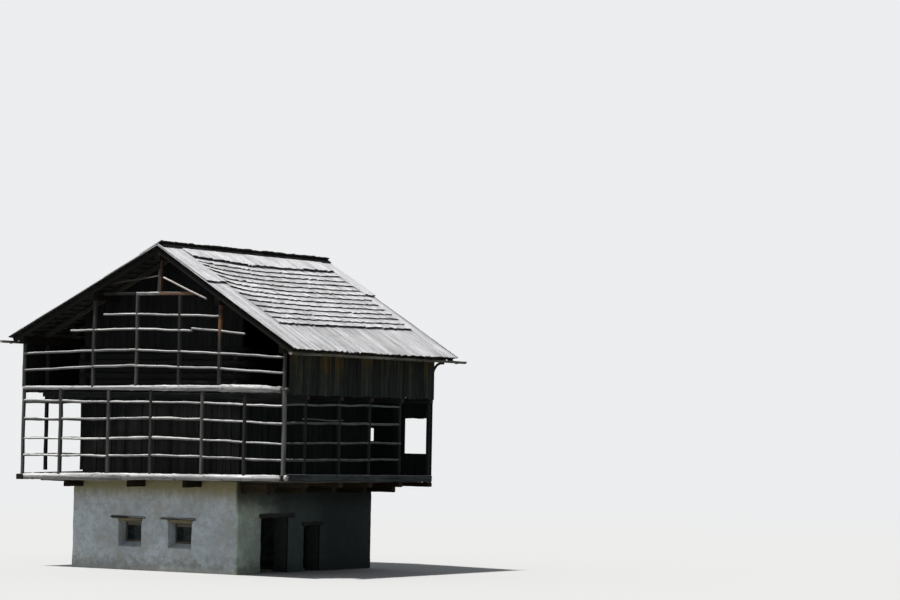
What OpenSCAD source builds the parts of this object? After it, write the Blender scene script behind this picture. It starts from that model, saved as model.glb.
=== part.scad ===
// Raised granary: a timber store on a masonry stable, with drying galleries on three sides.
// X runs to the right along the gable front, Y runs to the back, Z runs up, in millimetres.
// The origin is the centre of the masonry base, at its foot.

/* [Masonry base] */
// Width of the base across the gable front
base_w = 5760; // [5200:10:6600]
// Depth of the base from front to back
base_d = 6550; // [6000:10:7600]
// Height of the walls, up to the top of the floor beams
base_h = 2540; // [2300:10:3000]
// Thickness of the masonry walls
wall_t = 500; // [420:10:600]
// Thickness of the stable floor
stable_floor_t = 60; // [40:5:120]

/* [Stable windows] */
// Width of a window niche
niche_w = 810; // [600:10:900]
// Height of a window niche
niche_h = 610; // [500:10:800]
// Height of the window sills above the foot
niche_z = 770; // [650:10:1000]
// Distance from the middle of the front to the left window
window_left_x = 835; // [700:5:1200]
// Distance from the middle of the front to the right window
window_right_x = 900; // [700:5:1200]
// Depth of the glass behind the front face
glass_depth = 380; // [200:10:400]
// Width of the window frame timber
frame_w = 55; // [35:5:80]
// Height of the window's head board
head_h = 150; // [60:5:200]
// Thickness of the window frame timber
frame_t = 60; // [40:5:80]
// Thickness of the glass
glass_t = 12; // [6:1:16]

/* [Stable doorways] */
// Width of the wide doorway
door_w = 1280; // [900:10:1400]
// Height of the wide doorway above the foot
door_h = 1530; // [1400:10:1700]
// Distance from the front face to the wide doorway
door_y = 1100; // [900:10:1400]
// Width of the narrow doorway
low_door_w = 780; // [600:10:900]
// Height of the narrow doorway above the foot
low_door_h = 1290; // [1100:10:1500]
// Distance from the front face to the narrow doorway
low_door_y = 3160; // [3000:10:3800]
// Height of the timber lintels
lintel_h = 110; // [80:5:140]
// How far a lintel reaches past each side of its opening
lintel_over = 230; // [150:10:240]

/* [Galleries] */
// How far the front gallery stands out from the base
gallery_front = 750; // [600:10:1000]
// How far the left gallery stands out from the base
gallery_left = 1250; // [900:10:1500]
// How far the right gallery stands out from the base
gallery_right = 1990; // [1500:10:2200]
// Width of the beams that carry the galleries
beam_w = 200; // [160:10:240]
// Height of the outriggers where they cross the base
outrigger_h = 320; // [260:10:360]
// How far the outriggers keep that height beyond the right wall
outrigger_reach = 840; // [500:20:1200]
// Height of the outriggers' noses under the outer part of the galleries
nose_h = 130; // [100:10:180]
// Width of the beams under the front gallery
cantilever_w = 150; // [120:10:200]
// Height of the beams under the front gallery
cantilever_h = 240; // [200:10:280]
// Diameter of the front sill logs
sill_d = 200; // [170:5:230]
// How far the left sill stands out in front
sill_nose = 150; // [100:10:250]
// Width of the rack posts
post_w = 100; // [80:5:150]
// Diameter of the rack rails
rail_d = 64; // [45:1:80]
// Thickness of the floor boards
floor_t = 40; // [25:5:60]
// Thickness of the upright wall boards
board_t = 30; // [20:5:40]

/* [Timber core] */
// Height of the lower storey above the masonry
storey_h = 2410; // [2200:10:2700]
// Distance from the side faces of the base to the middle of the core's side walls
core_side_in = 210; // [120:10:260]
// Distance from the front face of the base to the middle of the core's front wall
core_front_in = 250; // [150:10:350]
// Distance from the back face of the base to the middle of the core's back wall
core_back_in = 110; // [100:10:200]
// Thickness of the boarded lower walls
plank_wall_t = 120; // [80:10:160]
// Width and height of the cross beams under the upper storey
cross_beam = 160; // [120:10:200]
// Height of one log of the upper walls, and its thickness
log_h = 180; // [140:5:200]
// Height of the boarded gable above the log walls, measured at the left wall
gable_low = 930; // [760:10:1100]
// How far the log ends stand out at the corners
log_over = 150; // [80:10:200]
// Width and height of the ring beam round the upper gallery
ring_h = 150; // [120:5:180]

/* [Roof] */
// Distance from the middle of the base to the ridge, to the right
ridge_off = 650; // [0:10:900]
// Height of the ridge above the upper floor
ridge_rise = 4070; // [3900:10:4400]
// Slope of the left side in degrees
pitch_left = 25.8; // [24:0.1:28]
// Slope of the right side in degrees
pitch_right = 31.3; // [29:0.1:33]
// How far the left eave stands out from the left gallery
eave_left = 495; // [350:5:700]
// How far the right eave stands out from the right gallery
eave_right = 515; // [350:5:700]
// How far the roof stands out from the front gallery
verge_front = 220; // [150:10:400]
// How far the roof stands out from the back of the base
verge_back = 700; // [400:10:900]
// Depth of the rafters
rafter_h = 140; // [100:5:180]
// Width of the rafters
rafter_w = 100; // [80:5:140]
// Number of rafter pairs
rafter_n = 9; // [6:1:12]
// Depth of the roof battens
batten_h = 40; // [25:5:60]
// Width of the roof battens
batten_w = 60; // [40:5:80]
// Height of the purlins
purlin_h = 170; // [130:5:200]
// Width of the purlins
purlin_w = 160; // [120:5:170]

/* [Roof covering] */
// Thickness of the covering at the foot of a shingle course
cover_t = 60; // [45:1:80]
// Drop at the foot of each shingle course
course_step = 26; // [12:1:36]
// Visible length of a shingle course
course_len = 291; // [240:1:320]
// Number of shingle courses on each slope
course_n = 12; // [8:1:13]
// Visible length of the ridge boards down the slope
ridge_board_len = 660; // [450:10:700]
// How far the left ridge boards stand out over the ridge
ridge_over = 180; // [60:10:220]
// Thickness of the ridge boards
ridge_board_t = 28; // [18:1:40]
// Width of the long boards along the front verge
verge_board_front = 880; // [500:10:1000]
// Width of the long boards along the back verge
verge_board_back = 560; // [400:10:1000]
// Distance down the slope to the lap in the verge boards
verge_lap = 2070; // [1600:10:2600]

/* [Gable truss] */
// Distance from the ridge down to the middle of the tie beam
tie_drop = 1370; // [1300:10:1600]
// Length of the tie beam
tie_len = 3100; // [2400:10:3400]
// How far the tie beam runs past the right tie post
tie_over = 450; // [200:10:600]
// Width of the tie beam and the king post
tie_w = 100; // [80:5:120]
// Diameter of the brace poles
brace_d = 60; // [45:1:70]
// Diameter of the strut pole on the left of the king post
strut_d = 44; // [30:1:60]

/* [Gutters] */
// Outer diameter of the wooden gutters
gutter_d = 120; // [90:2:140]
// Wall thickness of the wooden gutters
gutter_t = 18; // [12:1:24]
// How far the gutters run past the verges
gutter_over = 300; // [100:10:400]
// Number of crooks that hold each gutter
crook_n = 5; // [3:1:8]
// Width of a gutter crook
crook_w = 45; // [30:5:60]

/* [Hidden] */
// Faces of the base
base_l = -base_w / 2;
base_r = base_w / 2;
base_f = -base_d / 2;
base_b = base_d / 2;
// Planes through the middle of the rack posts
rack_l = base_l - gallery_left;
rack_r = base_r + gallery_right;
rack_f = base_f - gallery_front;
// Middles of the core's walls
core_l = base_l + core_side_in;
core_r = base_r - core_side_in;
core_f = base_f + core_front_in;
core_b = base_b - core_back_in;
// Levels
sill_top = base_h + sill_d;
upper_z = base_h + storey_h;
ring_top = upper_z + ring_h;
ridge_h = upper_z + ridge_rise;
tie_top = ridge_h - tie_drop + tie_w / 2;
tie_bottom = tie_top - tie_w;
// Lines of beams and side posts from front to back
bay_share = [0, 0.263, 0.504, 0.753, 1];
bay_y = [for (s = bay_share) core_f + s * (core_b - core_f)];
// Posts and rails of the lower racks, as shares of the width and of the height
front_share = [0, 0.151, 0.334, 0.501, 0.696, 0.854, 1];
rail_share = [0.195, 0.403, 0.645, 0.869];
lower_rail_z = [for (s = rail_share) sill_top + s * (upper_z - sill_top)];
// Full-width rails of the upper rack, in two lengths that meet at the left tie post: shares of the
// height of the left corner post, at the left corner, at the meeting point and at the right corner
full_rail_share = [[0.35, 0.486, 0.315], [0.76, 0.853, 0.68]];
// Short rails of the upper rack, as shares of the height from the ring beam to the tie beam
short_rail_share = [0.634, 0.801];
short_rail_past = 420;
// Ends of the brace and of the strut of the gable truss, from the ridge and from the top of the tie
brace_start = [60, 400];
brace_end = [1620, -220];
strut_start = 440;
strut_end = [-1700, 250];
post_half = post_w / 2;
ring_w = 180;
ring_half = ring_w / 2;
cross_half = cross_beam / 2;
// Front cantilevers, from the left face of the base
cantilever_share = [0.048, 0.433, 0.769];
cantilever_x = [for (s = cantilever_share) base_l + s * base_w];
// Scarf joints of the front logs, as shares of the front width
sill_scarf = [0.395, 0.43];
ring_scarf = [0.515, 0.6];
log_nose = 150;
// Roof planes: the covering, the battens and the rafters lie under the top plane
ridge_x = ridge_off;
rafter_top = cover_t + batten_h;
rafter_foot = rafter_top + rafter_h;
roof_f = rack_f - verge_front;
roof_b = base_b + verge_back;
roof_len = roof_b - roof_f;
slope_l = (ridge_x - rack_l + eave_left) / cos(pitch_left);
slope_r = (rack_r + eave_right - ridge_x) / cos(pitch_right);
// Height of the underside of the rafters at x, and of the underside of a purlin there
function under(x) = x < ridge_x
    ? ridge_h - (ridge_x - x) * tan(pitch_left) - rafter_foot / cos(pitch_left)
    : ridge_h - (x - ridge_x) * tan(pitch_right) - rafter_foot / cos(pitch_right);
ridge_under = min(under(ridge_x - 0.001), under(ridge_x));
function purlin_bottom(x) = (x == ridge_x ? ridge_under : under(x)) - purlin_h;
// Middle purlins and tie posts, as shares of the way from the ridge to a side rack
mid_purlin_share = [0.479, 0.488];
mid_purlin_l = ridge_x - mid_purlin_share[0] * (ridge_x - rack_l);
mid_purlin_r = ridge_x + mid_purlin_share[1] * (rack_r - ridge_x);
tie_post_share = 0.163;
tie_post_l = ridge_x - tie_post_share * (ridge_x - rack_l);
tie_post_r = ridge_x + tie_post_share * (rack_r - ridge_x);
purlin_setback = 40;
// The log walls fill the height below the boarded gables
log_courses = floor((under(core_l) - gable_low - upper_z) / log_h);
log_top = upper_z + log_h * log_courses;
// Play between timbers that are dressed to each other, and between faces that bear on each other
play = 5;
seat_gap = 0.5;
// The upright boards hang a little below the upper floor, and end just under the rafters
side_board_drop = 35;
side_board_gap = 6;
// Back boards stand on the outer face of the last cross beam, with a hatch and a slot
back_board_y = core_b + cross_half;
hatch_w = 820;
hatch_h = 1010;
hatch_z = upper_z - 1600;
hatch_edge = 40;
slot_edge = 90;
slot_w = 110;
slot_h = 370;
slot_z = upper_z - 1260;
big = 20000;
octagon_turn = 22.5;
eave_board_t = 28;
verge_board_t = 34;
ridge_joint = 0.4;
rafter_setback = 130;
rafter_inset = 60;
rafter_y = [for (i = [0:rafter_n - 1])
    roof_f + rafter_inset + i * (roof_len - 2 * rafter_inset - rafter_w) / (rafter_n - 1)];
batten_first = 150;
batten_foot = 60;
batten_setback = 20;
// Shingle courses
shingle_end = ridge_board_len + course_n * course_len;
shingle_f = roof_f + verge_board_front;
shingle_b = roof_b - verge_board_back;
// Gutters lie on crooks, which are bent arms nailed to the rafters
gutter_r = gutter_d / 2;
gutter_y0 = roof_f - gutter_over;
gutter_y1 = roof_b + gutter_over;
crook_arm = 300;
crook_d = 75;
crook_lip = 24;
crook_drop = 10;
// Back brace
brace_out = 60;
brace_w = 60;
brace_depth = 70;
brace_seat = 110;

// A box between two corners
module block(a, b) {
    translate(a) cube(b - a);
}

// A log along X, hewn flat above and below, resting on z
module log_x(x0, x1, y, z, d) {
    intersection() {
        translate([x0, y, z + d / 2]) rotate([0, 90, 0]) cylinder(d = d + 10, h = x1 - x0, $fn = 48);
        block([x0, y - d, z], [x1, y + d, z + d]);
    }
}

// A straight pole with eight sides between two points
module pole(a, b, d) {
    v = b - a;
    r = norm(v);
    translate(a) rotate([0, acos(v[2] / r), atan2(v[1], v[0])])
        rotate([0, 0, octagon_turn]) cylinder(d = d, h = r, $fn = 8);
}

// A round log with eight sides along X or Y, with flats above and below
module wall_log(from, length, along_x) {
    translate(from) rotate(along_x ? [0, 90, 0] : [-90, 0, 0])
        rotate([0, 0, octagon_turn]) cylinder(d = log_h / cos(octagon_turn), h = length, $fn = 8);
}

// Pockets that the outriggers leave in the masonry
module outrigger_pockets() {
    for (y = bay_y)
        block([rack_l, y - beam_w / 2, base_h - outrigger_h], [rack_r, y + beam_w / 2, base_h + 1]);
}

// Masonry base
module base_front_wall() {
    color("#a9aba6") difference() {
        block([base_l, base_f, 0], [base_r, base_f + wall_t, base_h]);
        outrigger_pockets();
        for (x = cantilever_x)
            block([x - cantilever_w / 2, base_f - 1, base_h - cantilever_h],
                  [x + cantilever_w / 2, core_f, base_h + 1]);
        for (x = [-window_left_x, window_right_x]) {
            block([x - niche_w / 2, base_f - 1, niche_z],
                  [x + niche_w / 2, base_f + wall_t + 1, niche_z + niche_h]);
            block([x - niche_w / 2 - lintel_over, base_f - 1, niche_z + niche_h],
                  [x + niche_w / 2 + lintel_over, base_f + wall_t / 2, niche_z + niche_h + lintel_h]);
        }
    }
}

module base_back_wall() {
    color("#a9aba6") difference() {
        block([base_l, base_b - wall_t, 0], [base_r, base_b, base_h]);
        outrigger_pockets();
        block([base_l - 1, core_b, base_h - outrigger_h], [base_r + 1, base_b + 1, base_h + 1]);
    }
}

module base_side_wall(x) {
    difference() {
        block([x, base_f + wall_t, 0], [x + wall_t, base_b - wall_t, base_h]);
        outrigger_pockets();
    }
}

module base_left_wall() {
    color("#a9aba6") base_side_wall(base_l);
}

// The wide and the narrow doorway: distance from the front, width and height
doors = [[door_y, door_w, door_h], [low_door_y, low_door_w, low_door_h]];

module base_right_wall() {
    color("#8d9088") difference() {
        base_side_wall(base_r - wall_t);
        for (d = doors) {
            block([base_r - wall_t - 1, base_f + d[0], -1],
                  [base_r + 1, base_f + d[0] + d[1], d[2]]);
            block([base_r - wall_t / 2, base_f + d[0] - lintel_over, d[2]],
                  [base_r + 1, base_f + d[0] + d[1] + lintel_over, d[2] + lintel_h]);
        }
    }
}

module base_floor() {
    color("#6f6a5f")
        block([base_l + wall_t, base_f + wall_t, 0], [base_r - wall_t, base_b - wall_t, stable_floor_t]);
}

module lintels() {
    color("#5d5648") {
        for (x = [-window_left_x, window_right_x])
            block([x - niche_w / 2 - lintel_over, base_f, niche_z + niche_h],
                  [x + niche_w / 2 + lintel_over, base_f + wall_t / 2, niche_z + niche_h + lintel_h]);
        for (d = doors)
            block([base_r - wall_t / 2, base_f + d[0] - lintel_over, d[2]],
                  [base_r, base_f + d[0] + d[1] + lintel_over, d[2] + lintel_h]);
    }
}

module window_frames() {
    y = base_f + glass_depth;
    color("#8d8467") for (x = [-window_left_x, window_right_x])
        difference() {
            block([x - niche_w / 2, y - frame_t / 2, niche_z],
                  [x + niche_w / 2, y + frame_t / 2, niche_z + niche_h]);
            block([x - niche_w / 2 + frame_w, y - frame_t, niche_z + frame_w],
                  [x + niche_w / 2 - frame_w, y + frame_t, niche_z + niche_h - head_h]);
        }
}

module window_glass() {
    y = base_f + glass_depth;
    color("#25302e") for (x = [-window_left_x, window_right_x])
        block([x - niche_w / 2 + frame_w, y - glass_t / 2, niche_z + frame_w],
              [x + niche_w / 2 - frame_w, y + glass_t / 2, niche_z + niche_h - head_h]);
}

// Floor beams: the outriggers cross the base and are cut back from below to thinner noses, and
// the front cantilevers butt against the first of them
module outriggers() {
    color("#5a4632") for (y = bay_y)
        union() {
            block([rack_l - beam_w / 2, y - beam_w / 2, base_h - nose_h],
                  [rack_r + beam_w / 2, y + beam_w / 2, base_h]);
            block([base_l, y - beam_w / 2, base_h - outrigger_h],
                  [base_r + outrigger_reach, y + beam_w / 2, base_h]);
        }
}

module front_cantilevers() {
    color("#3a342e") for (x = cantilever_x)
        block([x - cantilever_w / 2, rack_f, base_h - cantilever_h],
              [x + cantilever_w / 2, core_f - beam_w / 2, base_h]);
}

// Half of a scarf joint: what is left below or above the middle of a log between two shares
module scarf(shares, z, d, lower) {
    x0 = rack_l + shares[0] * (rack_r - rack_l);
    x1 = rack_l + shares[1] * (rack_r - rack_l);
    mid = z + d / 2;
    if (lower)
        union() {
            block([x1 - seat_gap, rack_f - d, z - 1], [rack_r + big, rack_f + d, z + d + 1]);
            block([x0 - seat_gap, rack_f - d, mid - seat_gap], [x1 + 1, rack_f + d, z + d + 1]);
        }
    else
        union() {
            block([rack_l - big, rack_f - d, z - 1], [x0, rack_f + d, z + d + 1]);
            block([x0 - 1, rack_f - d, z - 1], [x1, rack_f + d, mid]);
        }
}

// Halvings where the side sills cross the front sill
module corner_halving(x, z0, z1) {
    block([x - beam_w / 2, rack_f - sill_d, z0], [x + beam_w / 2, rack_f + beam_w / 2, z1]);
}

module front_sill() {
    mid = base_h + sill_d / 2;
    color("#918f8c") difference() {
        log_x(rack_l - beam_w / 2, rack_r + log_nose, rack_f, base_h, sill_d);
        scarf(sill_scarf, base_h, sill_d, true);
        for (x = [rack_l, rack_r]) corner_halving(x, base_h - 1, mid);
    }
    color("#918f8c") difference() {
        log_x(rack_l - beam_w / 2, rack_r + log_nose, rack_f, base_h, sill_d);
        scarf(sill_scarf, base_h, sill_d, false);
        for (x = [rack_l, rack_r]) corner_halving(x, base_h - 1, mid);
    }
}

module side_sills() {
    mid = base_h + sill_d / 2;
    back = core_b + cross_half;
    color("#2d2a26") difference() {
        block([rack_l - beam_w / 2, rack_f - sill_nose, base_h],
              [rack_l + beam_w / 2, back, sill_top]);
        block([rack_l - beam_w, rack_f - beam_w / 2 - play, mid],
              [rack_l + beam_w, rack_f + beam_w / 2, sill_top + 1]);
    }
    color("#2d2a26") difference() {
        block([rack_r - beam_w / 2, rack_f - beam_w / 2, base_h],
              [rack_r + beam_w / 2, back, sill_top]);
        block([rack_r - beam_w, rack_f - beam_w, mid],
              [rack_r + beam_w, rack_f + beam_w / 2, sill_top + 1]);
    }
}

module lower_floors() {
    z0 = base_h;
    z1 = base_h + floor_t;
    front = rack_f + beam_w / 2 + play;
    back = core_b + cross_half;
    half = plank_wall_t / 2;
    color("#6b6258") {
        block([rack_l + beam_w / 2, front, z0], [rack_r - beam_w / 2, core_f - half, z1]);
        block([rack_l + beam_w / 2, core_f - half, z0], [core_l - half, back, z1]);
        block([core_r + half, core_f - half, z0], [rack_r - beam_w / 2, back, z1]);
        block([core_l + half, core_f + half, z0], [core_r - half, core_b - half, z1]);
    }
}

// Lower walls of the core: upright boards between the floor beams and the cross beams
module lower_core_cross_wall(y) {
    block([core_l - plank_wall_t / 2, y - plank_wall_t / 2, base_h],
          [core_r + plank_wall_t / 2, y + plank_wall_t / 2, upper_z - cross_beam]);
}

module lower_core_side_wall(x) {
    difference() {
        block([x - plank_wall_t / 2, core_f + plank_wall_t / 2, base_h],
              [x + plank_wall_t / 2, core_b - plank_wall_t / 2, upper_z]);
        for (y = bay_y)
            block([x - plank_wall_t, y - cross_half, upper_z - cross_beam],
                  [x + plank_wall_t, y + cross_half, upper_z + 1]);
    }
}

module lower_core_front() {
    color("#2b2926") lower_core_cross_wall(core_f);
}

module lower_core_back() {
    color("#2b2926") lower_core_cross_wall(core_b);
}

module lower_core_left() {
    color("#2b2926") lower_core_side_wall(core_l);
}

module lower_core_right() {
    color("#2b2926") lower_core_side_wall(core_r);
}

// Racks: upright posts with rails let into them
module post(x, y, z0, z1) {
    block([x - post_half, y - post_half, z0], [x + post_half, y + post_half, z1]);
}

module front_lower_rack() {
    color("#5b5a58") union() {
        for (s = front_share) post(rack_l + s * (rack_r - rack_l), rack_f, sill_top, upper_z);
        for (z = lower_rail_z) pole([rack_l, rack_f, z], [rack_r, rack_f, z], rail_d);
    }
}

// A side rack, from the front corner post to the bay line that is named last
module side_rack(x, last) {
    union() {
        for (i = [0:last]) post(x, bay_y[i], sill_top, upper_z - cross_beam);
        for (z = lower_rail_z)
            pole([x, rack_f + post_half, z], [x, bay_y[last], z], rail_d);
    }
}

module left_lower_rack() {
    color("#454846") {
        side_rack(rack_l, len(bay_y) - 1);
        for (z = lower_rail_z)
            pole([rack_l + post_half, core_b, z], [core_l - plank_wall_t / 2, core_b, z], rail_d);
    }
}

module right_lower_rack() {
    color("#454846") side_rack(rack_r, len(bay_y) - 2);
}

// Beams and floor of the upper storey
module cross_beams() {
    color("#3a342e") for (y = bay_y)
        block([rack_l - ring_half, y - cross_half, upper_z - cross_beam],
              [rack_r + ring_half, y + cross_half, upper_z]);
}

module ring_beams() {
    color("#9d9d9c") {
        difference() {
            log_x(rack_l - ring_half, rack_r + log_nose, rack_f, upper_z, ring_h);
            scarf(ring_scarf, upper_z, ring_h, true);
        }
        difference() {
            log_x(rack_l - ring_half, rack_r + log_nose, rack_f, upper_z, ring_h);
            scarf(ring_scarf, upper_z, ring_h, false);
        }
        for (x = [rack_l, rack_r])
            block([x - ring_half, rack_f + ring_h / 2 + play, upper_z],
                  [x + ring_half, core_b + cross_half, ring_top]);
    }
}

module upper_floor() {
    half = log_h / 2;
    color("#6b6258") {
        block([core_l + half, core_f + half, upper_z], [core_r - half, core_b - half, upper_z + floor_t]);
        block([core_r + half, core_f - cross_half, upper_z],
              [rack_r - ring_half, core_b - half - log_over - log_h, upper_z + floor_t]);
    }
}

// Log walls of the upper storey: at the corners the through logs change from course to course
function runs_through(i, cross) = (i % 2 == 0) == cross;

module cross_log_wall(y) {
    for (i = [0:log_courses - 1]) {
        reach = runs_through(i, true) ? log_h / 2 + log_over : -log_h / 2;
        wall_log([core_l - reach, y, upper_z + (i + 0.5) * log_h], core_r - core_l + 2 * reach, true);
    }
}

module side_log_wall(x) {
    for (i = [0:log_courses - 1]) {
        reach = runs_through(i, false) ? log_h / 2 + log_over : -log_h / 2;
        wall_log([x, core_f - reach, upper_z + (i + 0.5) * log_h], core_b - core_f + 2 * reach, false);
    }
}

module upper_core_front() {
    color("#35322e") union() cross_log_wall(core_f);
}

module upper_core_back() {
    color("#35322e") union() cross_log_wall(core_b);
}

module upper_core_left() {
    color("#35322e") union() side_log_wall(core_l);
}

module upper_core_right() {
    color("#35322e") union() side_log_wall(core_r);
}

// Boarded gables above the log walls
module purlin_pocket(x) {
    block([x - purlin_w / 2, -big, purlin_bottom(x)], [x + purlin_w / 2, big, ridge_h]);
}

module gable(y) {
    x0 = core_l - log_h / 2;
    x1 = core_r + log_h / 2;
    difference() {
        translate([0, y + board_t, 0]) rotate([90, 0, 0]) linear_extrude(2 * board_t)
            polygon([[x0, log_top], [x1, log_top], [x1, under(x1)], [ridge_x, ridge_under],
                     [x0, under(x0)]]);
        for (x = [mid_purlin_l, ridge_x, mid_purlin_r]) purlin_pocket(x);
    }
}

module gables() {
    color("#2b2926") for (y = [core_f, core_b]) gable(y);
}

// Posts and boarding of the closed upper sides
module side_posts() {
    color("#3a342e") for (x = [rack_l, rack_r], y = bay_y)
        post(x, y, ring_top, purlin_bottom(x));
}

module side_boarding(x, side) {
    inner = x + side * ring_half;
    outer = inner + side * board_t;
    foot = upper_z - side_board_drop;
    translate([0, core_b + cross_half, 0]) rotate([90, 0, 0])
        linear_extrude(core_b + cross_half - rack_f - ring_h)
            polygon([[inner, foot], [outer, foot], [outer, under(outer) - side_board_gap],
                     [inner, under(inner) - side_board_gap]]);
}

module left_boarding() {
    color("#3a3833") side_boarding(rack_l, -1);
}

module right_boarding() {
    color("#3a3833") side_boarding(rack_r, 1);
}

// Rack in the upper front, under the gable
module rack_pole(x0, z0, x1, z1) {
    pole([x0, rack_f, z0], [x1, rack_f, z1], rail_d);
}

module front_upper_rack() {
    corner_h = purlin_bottom(rack_l) - ring_top;
    short_z = [for (s = short_rail_share) ring_top + s * (tie_bottom - ring_top)];
    color("#5b5a58") union() {
        for (x = [rack_l, rack_r, mid_purlin_l, mid_purlin_r])
            post(x, rack_f, ring_top, purlin_bottom(x));
        for (x = [tie_post_l, tie_post_r]) post(x, rack_f, ring_top, tie_bottom);
        for (s = full_rail_share) {
            z = [for (share = s) ring_top + share * corner_h];
            rack_pole(rack_l, z[0], tie_post_l, z[1]);
            rack_pole(tie_post_l, z[1], rack_r, z[2]);
        }
        rack_pole(mid_purlin_l - 2 * short_rail_past, short_z[0], tie_post_r + short_rail_past, short_z[0]);
        rack_pole(tie_post_r + short_rail_past, short_z[0] + rail_d / 2,
                  mid_purlin_r + 2 * short_rail_past, short_z[0] - 1.5 * rail_d);
        rack_pole(mid_purlin_l, short_z[1], mid_purlin_r, short_z[1]);
    }
}

// Tie beam, king post and braces in the plane of the rack
module gable_truss() {
    half = tie_w / 2;
    tie_r = tie_post_r + tie_over;
    brace_y = rack_f - half - brace_d / 2 * cos(octagon_turn);
    color("#6a5a4c") {
        union() {
            block([tie_r - tie_len, rack_f - half, tie_bottom], [tie_r, rack_f + half, tie_top]);
            block([ridge_x - half, rack_f - half, tie_top],
                  [ridge_x + half, rack_f + half, purlin_bottom(ridge_x)]);
            pole([ridge_x, rack_f, tie_top + strut_start],
                 [ridge_x + strut_end[0], rack_f, tie_top + strut_end[1]], strut_d);
        }
        pole([ridge_x + brace_start[0], brace_y, tie_top + brace_start[1]],
             [ridge_x + brace_end[0], brace_y, tie_top + brace_end[1]], brace_d);
    }
}

// Boards that close the back of the galleries
module back_lower_boards() {
    x0 = core_r + plank_wall_t / 2;
    x1 = rack_r + post_half;
    hatch_x = rack_r - hatch_edge - hatch_w;
    color("#4a4138") difference() {
        block([x0, back_board_y, base_h], [x1, back_board_y + board_t, upper_z]);
        block([hatch_x, back_board_y - 1, hatch_z],
              [hatch_x + hatch_w, back_board_y + board_t + 1, hatch_z + hatch_h]);
        block([x0 + slot_edge, back_board_y - 1, slot_z],
              [x0 + slot_edge + slot_w, back_board_y + board_t + 1, slot_z + slot_h]);
    }
    color("#454846") post(rack_r, core_b, sill_top, upper_z - cross_beam);
}

module back_upper_side(x0, x1) {
    translate([0, back_board_y + board_t, 0]) rotate([90, 0, 0]) linear_extrude(board_t)
        polygon([[x0, upper_z], [x1, upper_z], [x1, under(x1) - side_board_gap],
                 [x0, under(x0) - side_board_gap]]);
}

module back_upper_boards() {
    past = log_h / 2 + log_over;
    color("#2b2926") difference() {
        union() {
            back_upper_side(rack_l - ring_half, core_l - past);
            back_upper_side(core_r + past, rack_r + ring_half);
        }
        for (x = [rack_l, rack_r]) purlin_pocket(x);
    }
}

// Purlins: hewn beams, bevelled above to the slope that they carry
module purlin(x) {
    half = purlin_w / 2;
    top = x == ridge_x ? [[x + half, under(x + half)], [x, ridge_under], [x - half, under(x - half)]]
                       : [[x + half, under(x + half)], [x - half, under(x - half)]];
    translate([0, roof_b - purlin_setback, 0]) rotate([90, 0, 0])
        linear_extrude(roof_len - 2 * purlin_setback)
            polygon(concat([[x - half, purlin_bottom(x)], [x + half, purlin_bottom(x)]], top));
}

module purlins() {
    color("#4a4138") for (x = [rack_l, mid_purlin_l, ridge_x, mid_purlin_r, rack_r]) purlin(x);
}

// Places what it holds on a slope: X runs down from the ridge, Z stands square on the top plane
module on_left() {
    translate([ridge_x, 0, ridge_h]) mirror([1, 0, 0]) rotate([0, pitch_left, 0]) children();
}

module on_right() {
    translate([ridge_x, 0, ridge_h]) rotate([0, pitch_right, 0]) children();
}

// Keeps what lies on one side of the ridge, clear of it by a gap
module left_of_ridge(gap = 0) {
    intersection() {
        children();
        block([ridge_x - big, -big, 0], [ridge_x - gap, big, ridge_h + big]);
    }
}

module right_of_ridge(gap = 0) {
    intersection() {
        children();
        block([ridge_x + gap, -big, 0], [ridge_x + big, big, ridge_h + big]);
    }
}

module rafter_set(length) {
    for (y = rafter_y)
        block([-rafter_foot, y, -rafter_foot], [length - rafter_setback, y + rafter_w, -rafter_top]);
}

module rafters() {
    color("#4a4138") {
        left_of_ridge(ridge_joint) on_left() rafter_set(slope_l);
        right_of_ridge(ridge_joint) on_right() rafter_set(slope_r);
    }
}

// Battens: one under the foot of every course, and down to the eave
module batten_set(length) {
    run = length - batten_first - batten_w - batten_foot;
    count = floor(run / course_len);
    for (i = [0:count]) {
        x = batten_first + i * run / count;
        block([x, roof_f + batten_setback, -rafter_top],
              [x + batten_w, roof_b - batten_setback, -cover_t]);
    }
}

module battens() {
    color("#5c5347") {
        on_left() batten_set(slope_l);
        on_right() batten_set(slope_r);
    }
}

// Shingle courses and the eave boards below them, as one stepped slab
module shingle_slab(length) {
    steps = [for (i = [0:course_n - 1], k = [0, 1])
        [ridge_board_len + (i + k) * course_len, k == 0 ? -course_step : 0]];
    top = concat([[-cover_t, 0], [ridge_board_len, 0]], steps);
    eave_top = eave_board_t - cover_t;
    translate([0, shingle_b, 0]) rotate([90, 0, 0]) linear_extrude(shingle_b - shingle_f)
        polygon(concat([[-cover_t, -cover_t]], top,
                       [[shingle_end, eave_top], [length, eave_top], [length, -cover_t]]));
}

module shingles_left() {
    color("#8d8b88") left_of_ridge() on_left() shingle_slab(slope_l);
}

module shingles_right() {
    color("#b2b2b7") right_of_ridge() on_right() shingle_slab(slope_r);
}

// Long boards down each verge: the upper length laps over the lower one
module verge_pair(length, y0, y1) {
    block([-cover_t, y0, -cover_t], [length, y1, -cover_t + verge_board_t]);
    block([-cover_t, y0, -cover_t + verge_board_t], [verge_lap, y1, 0]);
}

module verge_set(length) {
    verge_pair(length, roof_f, shingle_f);
    verge_pair(length, shingle_b, roof_b);
}

module verge_boards() {
    color("#b5b4b9") {
        left_of_ridge(ridge_joint) on_left() verge_set(slope_l);
        right_of_ridge(ridge_joint) on_right() verge_set(slope_r);
    }
}

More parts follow.
